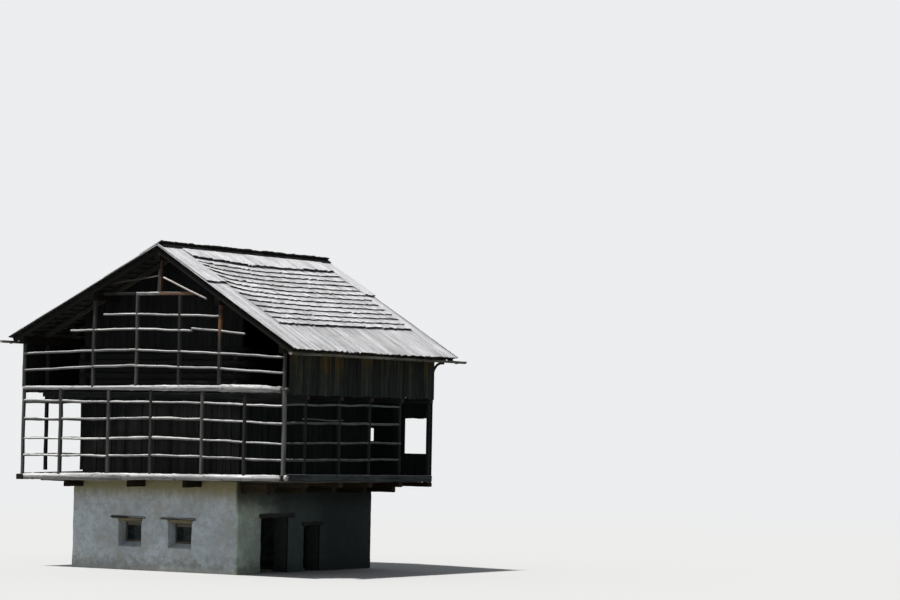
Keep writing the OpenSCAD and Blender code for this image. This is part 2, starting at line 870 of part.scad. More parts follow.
// Ridge boards: those on the left stand out over the ridge
module ridge_boards() {
    color("#c4c3c9") {
        right_of_ridge() on_right()
            block([-cover_t, shingle_f, 0], [ridge_board_len, shingle_b, ridge_board_t]);
        difference() {
            on_left() block([-ridge_over, roof_f, 0], [ridge_board_len, roof_b, ridge_board_t]);
            on_right() block([-cover_t, -big, -big], [slope_r, big, ridge_board_t]);
        }
    }
}

// Wooden gutters
module gutter(x, z) {
    inner = gutter_r - gutter_t;
    difference() {
        translate([x, gutter_y1, z]) rotate([90, 0, 0])
            cylinder(r = gutter_r, h = gutter_y1 - gutter_y0, $fn = 48);
        translate([x, gutter_y1 + 1, z]) rotate([90, 0, 0])
            cylinder(r = inner, h = gutter_y1 - gutter_y0 + 2, $fn = 48);
        block([x - gutter_r, gutter_y0 - 1, z + gutter_r / 3], [x + gutter_r, gutter_y1 + 1, z + gutter_d]);
    }
}

module gutters() {
    drop = cover_t + gutter_r;
    color("#5d5b54") {
        gutter(rack_l - eave_left, ridge_h - slope_l * sin(pitch_left) - drop);
        gutter(rack_r + eave_right, ridge_h - slope_r * sin(pitch_right) - drop);
    }
}

// A crook is nailed to the side of a rafter and cups the gutter, drawn in the plane of the slope
module crook(length, pitch) {
    drop = cover_t + gutter_r;
    reach = drop * sin(pitch);
    centre = [length + reach, -drop * cos(pitch)];
    arm_top = -rafter_top - crook_drop;
    rotate([90, 0, 0]) linear_extrude(crook_w) difference() {
        union() {
            translate([length - rafter_setback - crook_arm, arm_top - crook_d])
                square([crook_arm + rafter_setback + reach, crook_d]);
            translate(centre) circle(r = gutter_r + crook_lip, $fn = 48);
        }
        translate(centre) circle(r = gutter_r + seat_gap, $fn = 48);
        translate([length - big, arm_top]) square([2 * big, big]);
    }
}

module crook_set(length, pitch) {
    for (i = [0:crook_n - 1]) {
        k = round(i * (rafter_n - 1) / (crook_n - 1));
        edge = k < rafter_n - 1 ? rafter_y[k] + rafter_w + crook_w : rafter_y[k];
        translate([0, edge, 0]) crook(length, pitch);
    }
}

module gutter_crooks() {
    color("#4a4138") {
        on_left() crook_set(slope_l, pitch_left);
        on_right() crook_set(slope_r, pitch_right);
    }
}

// Bent brace from the back boards up to the overhang of the right eave purlin, flat at both ends
module back_brace() {
    y0 = back_board_y + board_t;
    r = roof_b - brace_out - brace_seat - y0;
    color("#3a342e") translate([rack_r - brace_w / 2, y0 + r, purlin_bottom(rack_r) - r])
        rotate([90, 0, 90]) linear_extrude(brace_w) union() {
            difference() {
                circle(r = r, $fn = 64);
                circle(r = r - brace_depth, $fn = 64);
                translate([0, -2 * r]) square([2 * r, 4 * r]);
                translate([-2 * r, -2 * r]) square([4 * r, 2 * r]);
            }
            translate([-r, -brace_seat]) square([brace_depth, brace_seat]);
            translate([0, r - brace_depth]) square([brace_seat, brace_depth]);
        }
}

base_front_wall();
base_back_wall();
base_left_wall();
base_right_wall();
base_floor();
lintels();
window_frames();
window_glass();
outriggers();
front_cantilevers();
front_sill();
side_sills();
lower_floors();
lower_core_front();
lower_core_back();
lower_core_left();
lower_core_right();
front_lower_rack();
left_lower_rack();
right_lower_rack();
cross_beams();
ring_beams();
upper_floor();
upper_core_front();
upper_core_back();
upper_core_left();
upper_core_right();
gables();
side_posts();
left_boarding();
right_boarding();
front_upper_rack();
gable_truss();
back_lower_boards();
back_upper_boards();
purlins();
rafters();
battens();
shingles_left();
shingles_right();
verge_boards();
ridge_boards();
gutters();
gutter_crooks();
back_brace();
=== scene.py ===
"""Raised granary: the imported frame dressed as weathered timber, split shingles and limewashed masonry.

X runs to the right along the gable front, Y to the back and Z up, in metres, as in the frame.
Every piece is a closed mesh with a "grain" UV map in metres and a "tone" for each element.
"""

import math
import zlib

import bpy
import numpy as np
from mathutils import Matrix, Vector, noise


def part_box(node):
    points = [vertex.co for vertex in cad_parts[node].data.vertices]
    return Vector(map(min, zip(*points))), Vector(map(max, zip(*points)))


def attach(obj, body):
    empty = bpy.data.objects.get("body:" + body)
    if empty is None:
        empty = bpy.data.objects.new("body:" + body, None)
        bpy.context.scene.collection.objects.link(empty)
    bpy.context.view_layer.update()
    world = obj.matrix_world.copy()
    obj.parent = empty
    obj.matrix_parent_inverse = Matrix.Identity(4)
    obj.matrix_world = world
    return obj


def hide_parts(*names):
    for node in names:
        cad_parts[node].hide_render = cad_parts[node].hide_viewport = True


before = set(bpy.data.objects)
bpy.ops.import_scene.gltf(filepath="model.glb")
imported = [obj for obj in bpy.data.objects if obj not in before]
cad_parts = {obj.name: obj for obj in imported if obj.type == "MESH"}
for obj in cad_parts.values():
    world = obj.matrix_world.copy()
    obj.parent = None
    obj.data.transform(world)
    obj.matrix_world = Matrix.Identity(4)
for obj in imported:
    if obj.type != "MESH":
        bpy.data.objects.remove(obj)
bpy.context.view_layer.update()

# Masonry base
BASE_L, BASE_R, BASE_F, BASE_B = -2.88, 2.88, -3.275, 3.275
BASE_H, WALL_T = 2.54, 0.50
NICHE_X, NICHE_W, NICHE_H, NICHE_Z = (-0.835, 0.90), 0.81, 0.61, 0.77
NICHE_HALF, NICHE_TOP = NICHE_W / 2, NICHE_Z + NICHE_H
GLASS_Y = BASE_F + 0.38
FRAME_W, FRAME_T, HEAD_H = 0.055, 0.06, 0.15
DOORS = ((1.10, 1.28, 1.53), (3.16, 0.78, 1.29))  # from the front face, width, height
LINTEL_H, LINTEL_OVER, HEAD_LINTEL = 0.11, 0.23, 0.058
LINTEL_DROP = 0.035  # of the timber behind the plank, into the niche
SILL_FALL = 0.12  # of the plastered sill, from the window to the front
PLANK_OVER = (0.27, 0.13)  # of the plank over each window, to its left and right
PLASTER_CELL, PLASTER_PUSH, SHARP_EDGE = 0.06, 0.024, 34  # quads, swelling, degrees
PLASTER_WAVES = ((0.6, 1.4), (0.3, 4.1), (0.14, 12.0))  # share of the swelling, waves to a metre
# Racks and timber core
RACK_L, RACK_R, RACK_F = -4.13, 4.87, -4.025
CORE_L, CORE_R, CORE_F, CORE_B = -2.67, 2.67, -3.025, 3.165
BEAM_W, OUTRIGGER_H, NOSE_H, NOSE_OVER, REACH = 0.20, 0.32, 0.13, 0.09, 0.84
CANTILEVER_W, CANTILEVER_H = 0.15, 0.19
POST_W, POST_LEAN, POST_IN = 0.098, 0.006, 0.01  # the last is how deep an end goes into its beam
RAIL_R, SIDE_RAIL_R, RAIL_STEP = 0.035, 0.032, 0.14
LOG_SIDES, KNOTS_TO_M, KNOT_W = 22, 1.6, 0.06
SAWN, HEWN, ROUGH = 0.002, 0.003, 0.004  # how far the points of a timber stray
SILL_D, SILL_TOP = 0.20, 2.74
UPPER_Z, RING_H, RING_W, CROSS = 4.95, 0.15, 0.18, 0.16
RING_TOP, CROSS_LOW = UPPER_Z + RING_H, UPPER_Z - CROSS
LOG_SEAT = RING_TOP - 0.05  # foot of the upper front posts, in the ring log
BAY_Y = [CORE_F + s * (CORE_B - CORE_F) for s in (0, 0.263, 0.504, 0.753, 1)]
FRONT_X = [RACK_L + s * (RACK_R - RACK_L) for s in (0, 0.151, 0.334, 0.501, 0.696, 0.854, 1)]
LOWER_RAIL_Z = (3.171, 3.631, 4.165, 4.660)
CANTILEVER_X = [BASE_L + s * (BASE_R - BASE_L) for s in (0.048, 0.433, 0.769)]
LOG_H, LOG_N, LOG_OVER = 0.18, 7, 0.15
LOG_HALF, LOG_TOP = LOG_H / 2, UPPER_Z + LOG_H * LOG_N
PLANK_WALL = 0.12
PLANK_HALF = PLANK_WALL / 2
SIDE_BACK = CORE_B + CROSS / 2  # where the beams and boards of both sides end
BACK_Y = SIDE_BACK + 0.015  # middle of the boards that close the back
FLOOR_T, FLOOR_UP = 0.038, 0.02  # floor boards, and their middle above the beams
HATCH, SLIT = (4.01, 4.83, 3.35, 4.36), (2.82, 2.93, 3.69, 4.06)  # in the back boards: x0, x1, z0, z1
OPEN_TOP = 99  # height of a hole that is open above
NARROWEST, SHORTEST, HOLE_CLEAR = 0.02, 0.03, 0.06  # of boards, and from their edges to a hole
LINING_IN = 0.03  # from the ends of the boards to those of the skin inside them
# Roof
RIDGE_X, RIDGE_H = 0.65, 9.02
SIGN = {"left": -1, "right": 1}
RACK_X = {"left": RACK_L, "right": RACK_R}
PITCH = {"left": math.radians(25.8), "right": math.radians(31.3)}
EAVE = {"left": RACK_L - 0.495, "right": RACK_R + 0.515}
SLOPE = {k: abs(EAVE[k] - RIDGE_X) / math.cos(PITCH[k]) for k in PITCH}
ROOF_F, ROOF_B = RACK_F - 0.22, BASE_B + 0.70
COVER_T, BATTEN_H, RAFTER_H, RAFTER_W = 0.06, 0.04, 0.14, 0.10
RAFTER_TOP = COVER_T + BATTEN_H
RAFTER_FOOT = RAFTER_TOP + RAFTER_H
RAFTER_Y = np.linspace(ROOF_F + 0.06, ROOF_B - 0.06 - RAFTER_W, 9)
PURLIN_W, PURLIN_H = 0.16, 0.17
PURLIN_X = (RACK_L, RIDGE_X - 0.479 * (RIDGE_X - RACK_L), RIDGE_X,
            RIDGE_X + 0.488 * (RACK_R - RIDGE_X), RACK_R)
TIE_L, TIE_R = RIDGE_X - 0.163 * (RIDGE_X - RACK_L), RIDGE_X + 0.163 * (RACK_R - RIDGE_X)
TIE_TOP, TIE_W = 7.70, 0.10
COURSE, COURSE_N = 0.291, 12
RIDGE_BOARD, RIDGE_OVER = 0.66, 0.18
SHINGLE_F, SHINGLE_B = ROOF_F + 0.88, ROOF_B - 0.56
FIELD = SHINGLE_B - SHINGLE_F
SHINGLE_END = RIDGE_BOARD + COURSE_N * COURSE
SHINGLE_W, SHINGLE_GAP, SHINGLE_LAP = (0.075, 0.185), 0.002, 1.28
STATIONS = np.array([0.0, 0.55, 0.86, 1.0])  # along a shingle, and how bright it is there
# Painted shadow and damp: each shingle is darker toward its head, just below the butts of the course above
STATION_TONE = np.array([0.66, 0.96, 1.0, 1.04])
CURL, CURL_REACH = (0.10, 0.22, 0.30, 0.30, 0.27, 0.20, 0.13, 0.08, 0.05, 0.03, 0.02, 0.01), 0.8
BED_Z, SKIN_Z, EAVE_Z = -0.0515, -0.0565, -0.047  # middles of the layers under the roof's top plane
VERGE_LAP, VERGE_EDGE = 2.07, 0.095
VERGE_STRIP, VERGE_SEAM = 0.33, 0.84  # of the way from the edge of a verge to its boards
VERGE_BOARD = dict(thick=0.024, steps=9, ragged=0.022)
GUTTER_R, GUTTER_T, GUTTER_Y = 0.06, 0.018, (ROOF_F - 0.30, ROOF_B + 0.30)
GUTTER_DROP = COVER_T + GUTTER_R  # from the roof's top plane to the middle of the trough
CROOK_ARM, CROOK_R, CROOK_TURN = (0.43, 0.30, 0.15, 0.06), 0.070, (215, 328)
BRACE_HALF, BRACE_SEAT = 0.035, 0.11
# The old front has settled: heights of its sill, rails and ring along X, and radii of its logs
BOW_X = (-4.1, -1.15, 0.4, 2.1, 3.5, 4.85)
SILL_Z = (2.534, 2.585, 2.618, 2.636, 2.655, 2.682)
SILL_R = ((-4.1, -1.8, -0.6, 0.4, 2.1, 4.7), (0.080, 0.104, 0.098, 0.087, 0.090, 0.079))
RAIL_Z = ((3.141, 3.155, 3.210, 3.204, 3.180, 3.139), (3.605, 3.635, 3.691, 3.666, 3.629, 3.580),
          (4.167, 4.189, 4.227, 4.211, 4.175, 4.125), (4.672, 4.650, 4.670, 4.663, 4.625, 4.585))
RING_Z = ((-4.16, -1.67, 0.35, 2.4, 4.0, 4.6), (5.031, 5.048, 5.055, 5.063, 5.062, 5.042))
RING_R = ((-4.16, -1.67, 0.35, 1.8, 2.9), (0.054, 0.050, 0.072, 0.088, 0.080))
UPPER_RAILS = (((RACK_L - 0.02, 5.517), (-1.64, 5.635), (TIE_L + 0.06, 5.673)),
               ((TIE_L - 0.06, 5.665), (2.71, 5.600), (RACK_R + 0.02, 5.475)),
               ((RACK_L - 0.02, 5.995), (-1.64, 6.081), (TIE_L + 0.06, 6.104)),
               ((TIE_L - 0.06, 6.098), (2.71, 6.010), (RACK_R + 0.02, 5.900)),
               ((-2.46, 6.636), (TIE_L, 6.684), (1.76, 6.620)),
               ((1.76, 6.690), (3.30, 6.560), (3.56, 6.535)),
               ((-1.30, 7.078), (TIE_L, 7.090), (2.73, 7.014)))
# Photo and studio
CAMERA_AT, LENS_MM, SENSOR_MM = (51.224, -69.535, 3.981), 120, 36
YAW, LIFT, ROLL = (math.radians(v) for v in (32.153, 2.524, 1.002))
FLOOR_R, FLOOR_SIDES, FADE = 260.0, 96, (14, 90)
FLOOR_LIT, FLOOR_SEEN, BACKDROP = (0.25, 0.25, 0.25), (0.60, 0.60, 0.595), (0.84, 0.85, 0.86)
SKY_LEFT, SKY_RIGHT = (0.36, 0.375, 0.40), (0.13, 0.14, 0.155)
SUN_POWER, SUN_WIDTH, SUN_COLOUR, SUN_FROM = 3.9, 2.5, (1.0, 0.985, 0.96), (-0.15, -0.30, 0.93)

X, Y, Z = np.eye(3)


def under(x):
    """Height of the underside of the rafters at x."""
    side = "left" if x < RIDGE_X else "right"
    return RIDGE_H - abs(x - RIDGE_X) * math.tan(PITCH[side]) - RAFTER_FOOT / math.cos(PITCH[side])


def purlin_bottom(x):
    """Height of the underside of the purlin at x. The ridge purlin fits under the lower of both slopes."""
    lowest = min(under(RIDGE_X - 1e-6), under(RIDGE_X + 1e-6))
    return (lowest if abs(x - RIDGE_X) < 1e-6 else under(x)) - PURLIN_H


def slope_point(side, x, y, z):
    """A point x down the slope from the ridge and z above its top plane."""
    p = PITCH[side]
    return np.array((RIDGE_X + SIGN[side] * (x * math.cos(p) + z * math.sin(p)), y,
                     RIDGE_H - x * math.sin(p) + z * math.cos(p)))


def slope_axis(side):
    return np.array((SIGN[side] * math.cos(PITCH[side]), 0, -math.sin(PITCH[side])))


def cantilever_z(x):
    """Height of the middle of a front cantilever, close under the sill."""
    return np.interp(x, BOW_X, SILL_Z) - 0.185


# Materials


class Nodes:
    """Adds nodes to a tree. An input given as a socket is linked, and any other value is set."""

    def __init__(self, tree):
        self.tree = tree

    def give(self, socket, value):
        if isinstance(value, bpy.types.NodeSocket):
            self.tree.links.new(value, socket)
        else:
            socket.default_value = value

    def node(self, kind, inputs=None, **settings):
        made = self.tree.nodes.new("ShaderNode" + kind)
        for key, value in settings.items():
            setattr(made, key, value)
        for key, value in (inputs or {}).items():
            self.give(made.inputs[key], value)
        return made

    def noise(self, vector, stretch, detail=4.0, roughness=0.55, offset=(0, 0, 0)):
        """Noise of scale 1 on a vector that is stretched first, by one number or by three."""
        stretch = stretch if isinstance(stretch, tuple) else (stretch,) * 3
        mapped = self.node("Mapping", {"Vector": vector, "Scale": stretch, "Location": offset})
        return self.node("TexNoise", {"Vector": mapped.outputs[0], "Scale": 1.0, "Detail": detail,
                                      "Roughness": roughness}).outputs["Fac"]

    def ramp(self, value, low, high, to_low=0.0, to_high=1.0):
        """A smooth step from low to high."""
        return self.node("MapRange", {"Value": value, "From Min": low, "From Max": high, "To Min": to_low,
                                      "To Max": to_high}, interpolation_type="SMOOTHSTEP",
                         clamp=True).outputs["Result"]

    def math(self, operation, a, b):
        return self.node("Math", {0: a, 1: b}, operation=operation).outputs[0]

    def add(self, a, b):
        return self.math("ADD", a, b)

    def sub(self, a, b):
        return self.math("SUBTRACT", a, b)

    def mul(self, a, b):
        return self.math("MULTIPLY", a, b)

    def swing(self, value, by):
        """A value of 0 to 1 turned into one that swings round zero."""
        return self.mul(self.sub(value, 0.5), by)

    def mix(self, amount, a, b, blend="MIX"):
        a, b = (v if isinstance(v, bpy.types.NodeSocket) else (*v, 1.0) for v in (a, b))
        return self.node("Mix", {0: amount, 6: a, 7: b}, data_type="RGBA", blend_type=blend).outputs[2]

    def parts(self, vector):
        return self.node("SeparateXYZ", {"Vector": vector}).outputs


class Surface(Nodes):
    """A new material with a Principled shader, and what its nodes start from."""

    def __init__(self, name):
        self.material = bpy.data.materials.new(name)
        self.material.use_nodes = True
        super().__init__(self.material.node_tree)
        self.shader = self.tree.nodes["Principled BSDF"]
        geometry = self.node("NewGeometry")
        self.place, self.normal = geometry.outputs["Position"], geometry.outputs["Normal"]
        self.set({"Specular IOR Level": 0.12})

    def grain(self):
        return self.node("UVMap", uv_map="grain").outputs[0]

    def tone(self):
        return self.node("Attribute", attribute_name="tone").outputs["Fac"]

    def scaled(self, colour, by):
        return self.node("VectorMath", {0: colour, "Scale": by}, operation="SCALE").outputs[0]

    def set(self, inputs):
        for key, value in inputs.items():
            self.give(self.shader.inputs[key], value)

    def finish(self, colour, rough, height, distance, strength=0.6):
        """Sets colour, roughness and relief, and returns the material."""
        relief = self.node("Bump", {"Height": height, "Distance": distance, "Strength": strength})
        self.set({"Base Color": colour, "Roughness": rough, "Normal": relief.outputs[0]})
        return self.material


def wood(name, dark, light, silver, bleach, streak, crack, warm=None, warm_z=None, below=None, knots=0.0):
    """Weathered softwood: streaks along the grain, dark cracks and silver on what faces the sky.

    bleach, crack and knots say how strong silver, cracks and knots are, and streak how fine the grain is.
    warm is a colour that shelter has kept, and warm_z the heights between which it comes in.
    below is a colour painted on the faces that look down: painted shade."""
    s = Surface(name)
    grain, tone = s.grain(), s.tone()
    fine = s.noise(grain, (1.3, streak * 2.6, 1), 5.0, 0.6)
    broad = s.noise(grain, (0.45, streak * 0.35, 1), 3.0, 0.5, (3, 7, 0))
    patch = s.noise(s.place, 0.9, 3.0, 0.6)
    streaks = s.add(s.mul(fine, 0.55), s.mul(broad, 0.45))
    colour = s.mix(s.ramp(streaks, 0.36, 0.64), dark, light)
    if warm:
        lifted = s.add(s.parts(s.place)["Z"], s.swing(broad, 1.1))
        lifted = s.add(lifted, s.mul(s.sub(tone, 1.0), 0.9))
        colour = s.mix(s.mul(s.ramp(lifted, *warm_z), s.ramp(patch, 0.38, 0.6)), colour, warm)
    facing = s.parts(s.normal)["Z"]
    sky = s.ramp(s.add(facing, s.swing(fine, 0.5)), 0.05, 0.75)
    silvered = s.mix(s.ramp(fine, 0.33, 0.67), tuple(0.52 * c for c in silver), silver)
    colour = s.mix(s.mul(sky, bleach), colour, silvered)
    split = s.mul(s.ramp(s.noise(grain, (0.75, streak * 3.4, 1), 2.0, 0.5, (11, 5, 0)), 0.60, 0.70), crack)
    colour = s.mix(split, colour, tuple(0.25 * c for c in dark))
    if knots:
        knot = s.ramp(s.noise(grain, (5.0, 11.0, 1), 3.0, 0.65, (2, 9, 0)), 0.56, 0.68, 0.0, knots)
        colour = s.mix(knot, colour, tuple(0.4 * c for c in dark))
    # Painted shade: the faces that look down take the dark below colour, in patches
    if below:
        covered = s.mix(s.ramp(patch, 0.42, 0.60), tuple(0.35 * c for c in below), below)
        colour = s.mix(s.ramp(facing, -0.35, -0.65), colour, covered)
    colour = s.scaled(colour, s.mul(tone, s.ramp(patch, 0.3, 0.7, 0.86, 1.12)))
    return s.finish(colour, s.ramp(fine, 0.2, 0.8, 0.95, 0.72), s.sub(fine, s.mul(split, 1.6)), 0.006)


def end_grain(name, dark, light):
    """The cut end of a timber: rings round its heart, and specks."""
    s = Surface(name)
    grain = s.grain()
    rings = s.node("TexWave", {
        "Vector": grain, "Scale": 38.0, "Distortion": 2.2, "Detail": 2.0, "Detail Scale": 1.5},
        wave_type="RINGS", rings_direction="SPHERICAL").outputs["Fac"]
    speck = s.noise(grain, (34, 34, 1), 4.0)
    colour = s.mix(s.mul(s.add(rings, speck), 0.5), dark, light)
    return s.finish(s.scaled(colour, s.tone()), 0.9, rings, 0.002)


def limewash():
    """Lime plaster on rubble: soft mottling, damp at the foot, and darker and browner at the top under the
    beams, in vertical streaks.

    The right side is painted greener and darker, most to the back and to the top, and its doorway reveals near
    black: painted shade under the gallery."""
    s = Surface("limewash")
    at, facing = s.parts(s.place), s.parts(s.normal)["X"]
    across, deep, height = at["X"], at["Y"], at["Z"]
    cloud = s.noise(s.place, (1.1, 1.1, 1.5), 4.0, 0.6)
    mottle = s.noise(s.place, 6, 5.0, 0.65)
    grit = s.noise(s.place, 70, 3.0, 0.6)
    runs = s.noise(s.place, (5.5, 5.5, 0.35), 4.0, 0.6)
    old = s.noise(s.place, (1.7, 1.7, 2.4), 4.0, 0.6, (4, 8, 1))
    wear_and_light = s.noise(s.place, 2.4, 6.0, 0.7, (9, 2, 4))
    pits = s.noise(s.place, (20, 20, 34), 3.0, 0.6, (7, 1, 3))
    colour = s.mix(s.ramp(cloud, 0.38, 0.62), (0.61, 0.68, 0.72), (0.785, 0.875, 0.925))
    for value, low, high, most, stain in (
            (height, 1.3, 2.5, 0.75, (0.75, 0.77, 0.70)), (old, 0.50, 0.62, 0.4, (0.57, 0.545, 0.44)),
            (mottle, 0.44, 0.62, 0.55, (0.50, 0.525, 0.505)), (wear_and_light, 0.62, 0.70, 0.4, (0.40, 0.38, 0.33)),
            (s.add(height, s.mul(mottle, -0.7)), 0.10, -0.30, 0.6, (0.30, 0.30, 0.24)),
            (s.add(height, s.mul(runs, 0.4)), 2.12, 2.58, 0.92, (0.40, 0.36, 0.175))):
        colour = s.mix(s.ramp(value, low, high, 0.0, most), colour, stain)
    # Painted shade: the right side, and the corner of the back that it wraps round to, are painted greener and
    # darker
    drift = s.swing(cloud, 1.6)
    around = s.ramp(s.add(across, s.mul(drift, 1.2)), 0.6, BASE_R, 0.0, 0.9)
    right = s.math("MAXIMUM", s.ramp(across, BASE_R - 0.10, BASE_R - 0.03),
                   s.mul(around, s.ramp(deep, BASE_B - 0.10, BASE_B - 0.04)))
    colour = s.mix(right, colour, (0.90, 0.97, 0.82), "MULTIPLY")
    # Painted shade: darker to the back, and darker still at the top under the gallery floor
    far = s.add(deep, drift)
    for value, low, high, least, most, stain in (
            (far, -2.6, -1.0, 0.06, 0.86, (0.026, 0.048, 0.058)),
            (s.add(height, s.mul(drift, 0.3)), 1.6, 2.2, 0.0, 0.85, (0.032, 0.041, 0.034)),
            (far, -0.4, 1.4, 0.0, 0.62, (0.012, 0.017, 0.016))):
        colour = s.mix(s.mul(right, s.ramp(value, low, high, least, most)), colour, stain)
    # Painted shade: the reveals of the doorways in the right wall are painted near black
    doorways = s.mul(s.ramp(deep, -2.7, -2.4), s.ramp(deep, 1.6, 1.3))
    reveal = s.mul(s.ramp(across, BASE_R - 0.62, BASE_R - 0.52), s.ramp(facing, 0.9, 0.6))
    colour = s.mix(s.mul(s.mul(reveal, doorways), 0.9), colour, (0.028, 0.034, 0.031))
    relief = s.add(s.add(mottle, s.mul(grit, 0.15)), s.mul(pits, 0.35))
    return s.finish(colour, s.ramp(mottle, 0.3, 0.7, 0.98, 0.86), relief, 0.03, 0.75)


def trodden_stone():
    s = Surface("trodden_stone")
    cells = s.node("TexVoronoi", {"Vector": s.place, "Scale": 2.6, "Randomness": 0.9},
                   feature="DISTANCE_TO_EDGE").outputs["Distance"]
    dirt = s.noise(s.place, 5, 5.0, 0.65)
    colour = s.mix(s.ramp(cells, 0.01, 0.06), (0.06, 0.05, 0.04), (0.20, 0.185, 0.155))
    colour = s.mix(s.ramp(dirt, 0.4, 0.7, 0.0, 0.7), colour, (0.12, 0.10, 0.075))
    return s.finish(colour, 0.9, s.add(s.ramp(cells, 0.0, 0.08), dirt), 0.015)


def old_glass():
    s = Surface("old_glass")
    dust = s.noise(s.place, 9, 4.0, 0.6)
    s.set({"Specular IOR Level": 0.16, "Transmission Weight": 0.25})
    colour = s.mix(s.ramp(dust, 0.35, 0.75), (0.016, 0.028, 0.028), (0.042, 0.056, 0.054))
    return s.finish(colour, s.ramp(dust, 0.4, 0.8, 0.10, 0.32), s.noise(s.place, 3, 1.0), 0.01, 0.25)


UNDERSIDE_SHADE = (0.031, 0.030, 0.024)  # painted shade: the near-black colour of the roof's boards and shingles where they face down
# Each wood: dark, light and silver, then bleach, streak and crack
log_wood = wood("silver_log", (0.22, 0.22, 0.215), (0.54, 0.54, 0.535), (0.86, 0.86, 0.865),
                0.9, 16, 0.85, knots=0.8)
rail_wood = wood("rail_wood", (0.12, 0.12, 0.115), (0.36, 0.36, 0.35), (0.84, 0.84, 0.83),
                 1, 26, 0.6, knots=0.6)
# Painted shade: a darker, greener copy of rail_wood for the poles of the right side
painted_shade_rail_wood = wood("side_rail", (0.045, 0.054, 0.051), (0.165, 0.186, 0.182), (0.37, 0.39, 0.385),
                      1, 26, 0.6, knots=0.6)
brace_wood = wood("pale_pole", (0.3, 0.25, 0.23), (0.52, 0.46, 0.43), (0.72, 0.68, 0.66),
                  0.8, 26, 0.4)
post_wood = wood("post_wood", (0.03, 0.03, 0.029), (0.085, 0.085, 0.082), (0.34, 0.34, 0.33),
                 0.8, 22, 0.6)
warm_post = wood("warm_post", (0.03, 0.03, 0.029), (0.08, 0.075, 0.07), (0.34, 0.34, 0.33),
                 0.8, 22, 0.6, warm=(0.26, 0.12, 0.052), warm_z=(6.1, 6.9))
shade_wood = wood("shaded_timber", (0.013, 0.016, 0.014), (0.04, 0.046, 0.041), (0.2, 0.2, 0.19),
                  0.5, 20, 0.6)
beam_wood = wood("floor_beam", (0.024, 0.02, 0.011), (0.084, 0.066, 0.036), (0.2, 0.18, 0.16),
                 0.5, 18, 0.6)
sill_wood = wood("side_sill", (0.017, 0.023, 0.023), (0.072, 0.088, 0.088), (0.34, 0.34, 0.34),
                 0.8, 16, 1, knots=0.7)
# Painted shade: the boards and logs of the core, under the galleries and the roof, are painted near black; the
# old timber itself is dark too
core_wood = wood("core_boards", (0.005, 0.006, 0.0055), (0.0145, 0.0165, 0.015), (0.06, 0.06, 0.058),
                 0.3, 18, 0.4)
# Painted shade: a greener copy of the core boards for the right core wall and the lining behind the back boards
side_core_wood = wood("side_core_boards", (0.009, 0.0125, 0.0115), (0.025, 0.033, 0.031), (0.06, 0.06, 0.058),
                      0.3, 18, 0.4)
back_wood = wood("back_boards", (0.02, 0.016, 0.012), (0.075, 0.06, 0.045), (0.16, 0.155, 0.145),
                 0.5, 20, 0.5)
# Painted shade: the right side's boarding is painted near black and greener than the left's; its warm brown
# near the top is sheltered wood
side_wood = wood("side_boards", (0.002, 0.0045, 0.003), (0.04, 0.049, 0.042), (0.14, 0.14, 0.13),
                 0.4, 20, 0.7, warm=(0.062, 0.044, 0.015), warm_z=(5.3, 6.1))
floor_wood = wood("floor_boards", (0.055, 0.048, 0.04), (0.15, 0.13, 0.11), (0.26, 0.25, 0.23),
                  0.5, 18, 0.5)
lintel_wood = wood("lintel_timber", (0.2, 0.17, 0.095), (0.42, 0.355, 0.21), (0.5, 0.46, 0.36),
                   0.5, 14, 0.7)
window_wood = wood("window_timber", (0.18, 0.165, 0.135), (0.35, 0.33, 0.27), (0.42, 0.4, 0.35),
                   0.5, 30, 0.3)
truss_wood = wood("truss_timber", (0.1, 0.062, 0.044), (0.26, 0.165, 0.115), (0.46, 0.4, 0.36),
                  0.7, 22, 0.4)
roof_wood = wood("roof_boards", (0.3, 0.3, 0.31), (0.64, 0.64, 0.655), (0.83, 0.83, 0.85),
                 0.85, 26, 1, below=UNDERSIDE_SHADE, knots=0.45)
shingle_wood = wood("shingles", (0.34, 0.34, 0.35), (0.7, 0.7, 0.72), (0.92, 0.92, 0.94),
                    0.85, 30, 0.8, below=UNDERSIDE_SHADE, knots=0.3)
under_wood = wood("roof_underside", (0.022, 0.0235, 0.02), (0.07, 0.068, 0.055), (0.12, 0.115, 0.105),
                  0.3, 20, 0.4)
# Near black, for the strips under the ridge overhang and the seams of the verges: painted shade
painted_shade_black_wood = wood("near_black_painted_shade", (0.0015, 0.0015, 0.0018), (0.004, 0.004, 0.0045), (0.007, 0.007, 0.008),
                   0.5, 30, 0.3)
gutter_wood = wood("gutter_pole", (0.055, 0.055, 0.04), (0.26, 0.26, 0.21), (0.8, 0.8, 0.73),
                   1, 20, 0.9, knots=0.6)
dark_end = end_grain("dark_end_grain", (0.018, 0.014, 0.01), (0.075, 0.058, 0.043))
pale_end = end_grain("pale_end_grain", (0.22, 0.20, 0.175), (0.46, 0.44, 0.40))
# Near-black end grain for shingle butts, board ends and core log ends: partly dark old end grain, partly
# painted shade where they face away from the light
butt_end = end_grain("dark_butts", (0.008, 0.008, 0.009), (0.04, 0.038, 0.038))
# Painted shade: near-black ends for the purlins under the roof
painted_shade_end = end_grain("near_black_ends_painted_shade", (0.002, 0.002, 0.002), (0.01, 0.0095, 0.009))
plaster = limewash()


# Sections, counter-clockwise round the axis


def round_section(radii, turn):
    return np.stack([radii * np.cos(turn), radii * np.sin(turn)], axis=1)


def box_section(width, height, chamfer=0.0):
    w, h, c = width / 2, height / 2, chamfer
    if not c:
        return np.array([(-w, -h), (w, -h), (w, h), (-w, h)])
    return np.array([(-w + c, -h), (w - c, -h), (w, -h + c), (w, h - c),
                     (w - c, h), (-w + c, h), (-w, h - c), (-w, -h + c)])


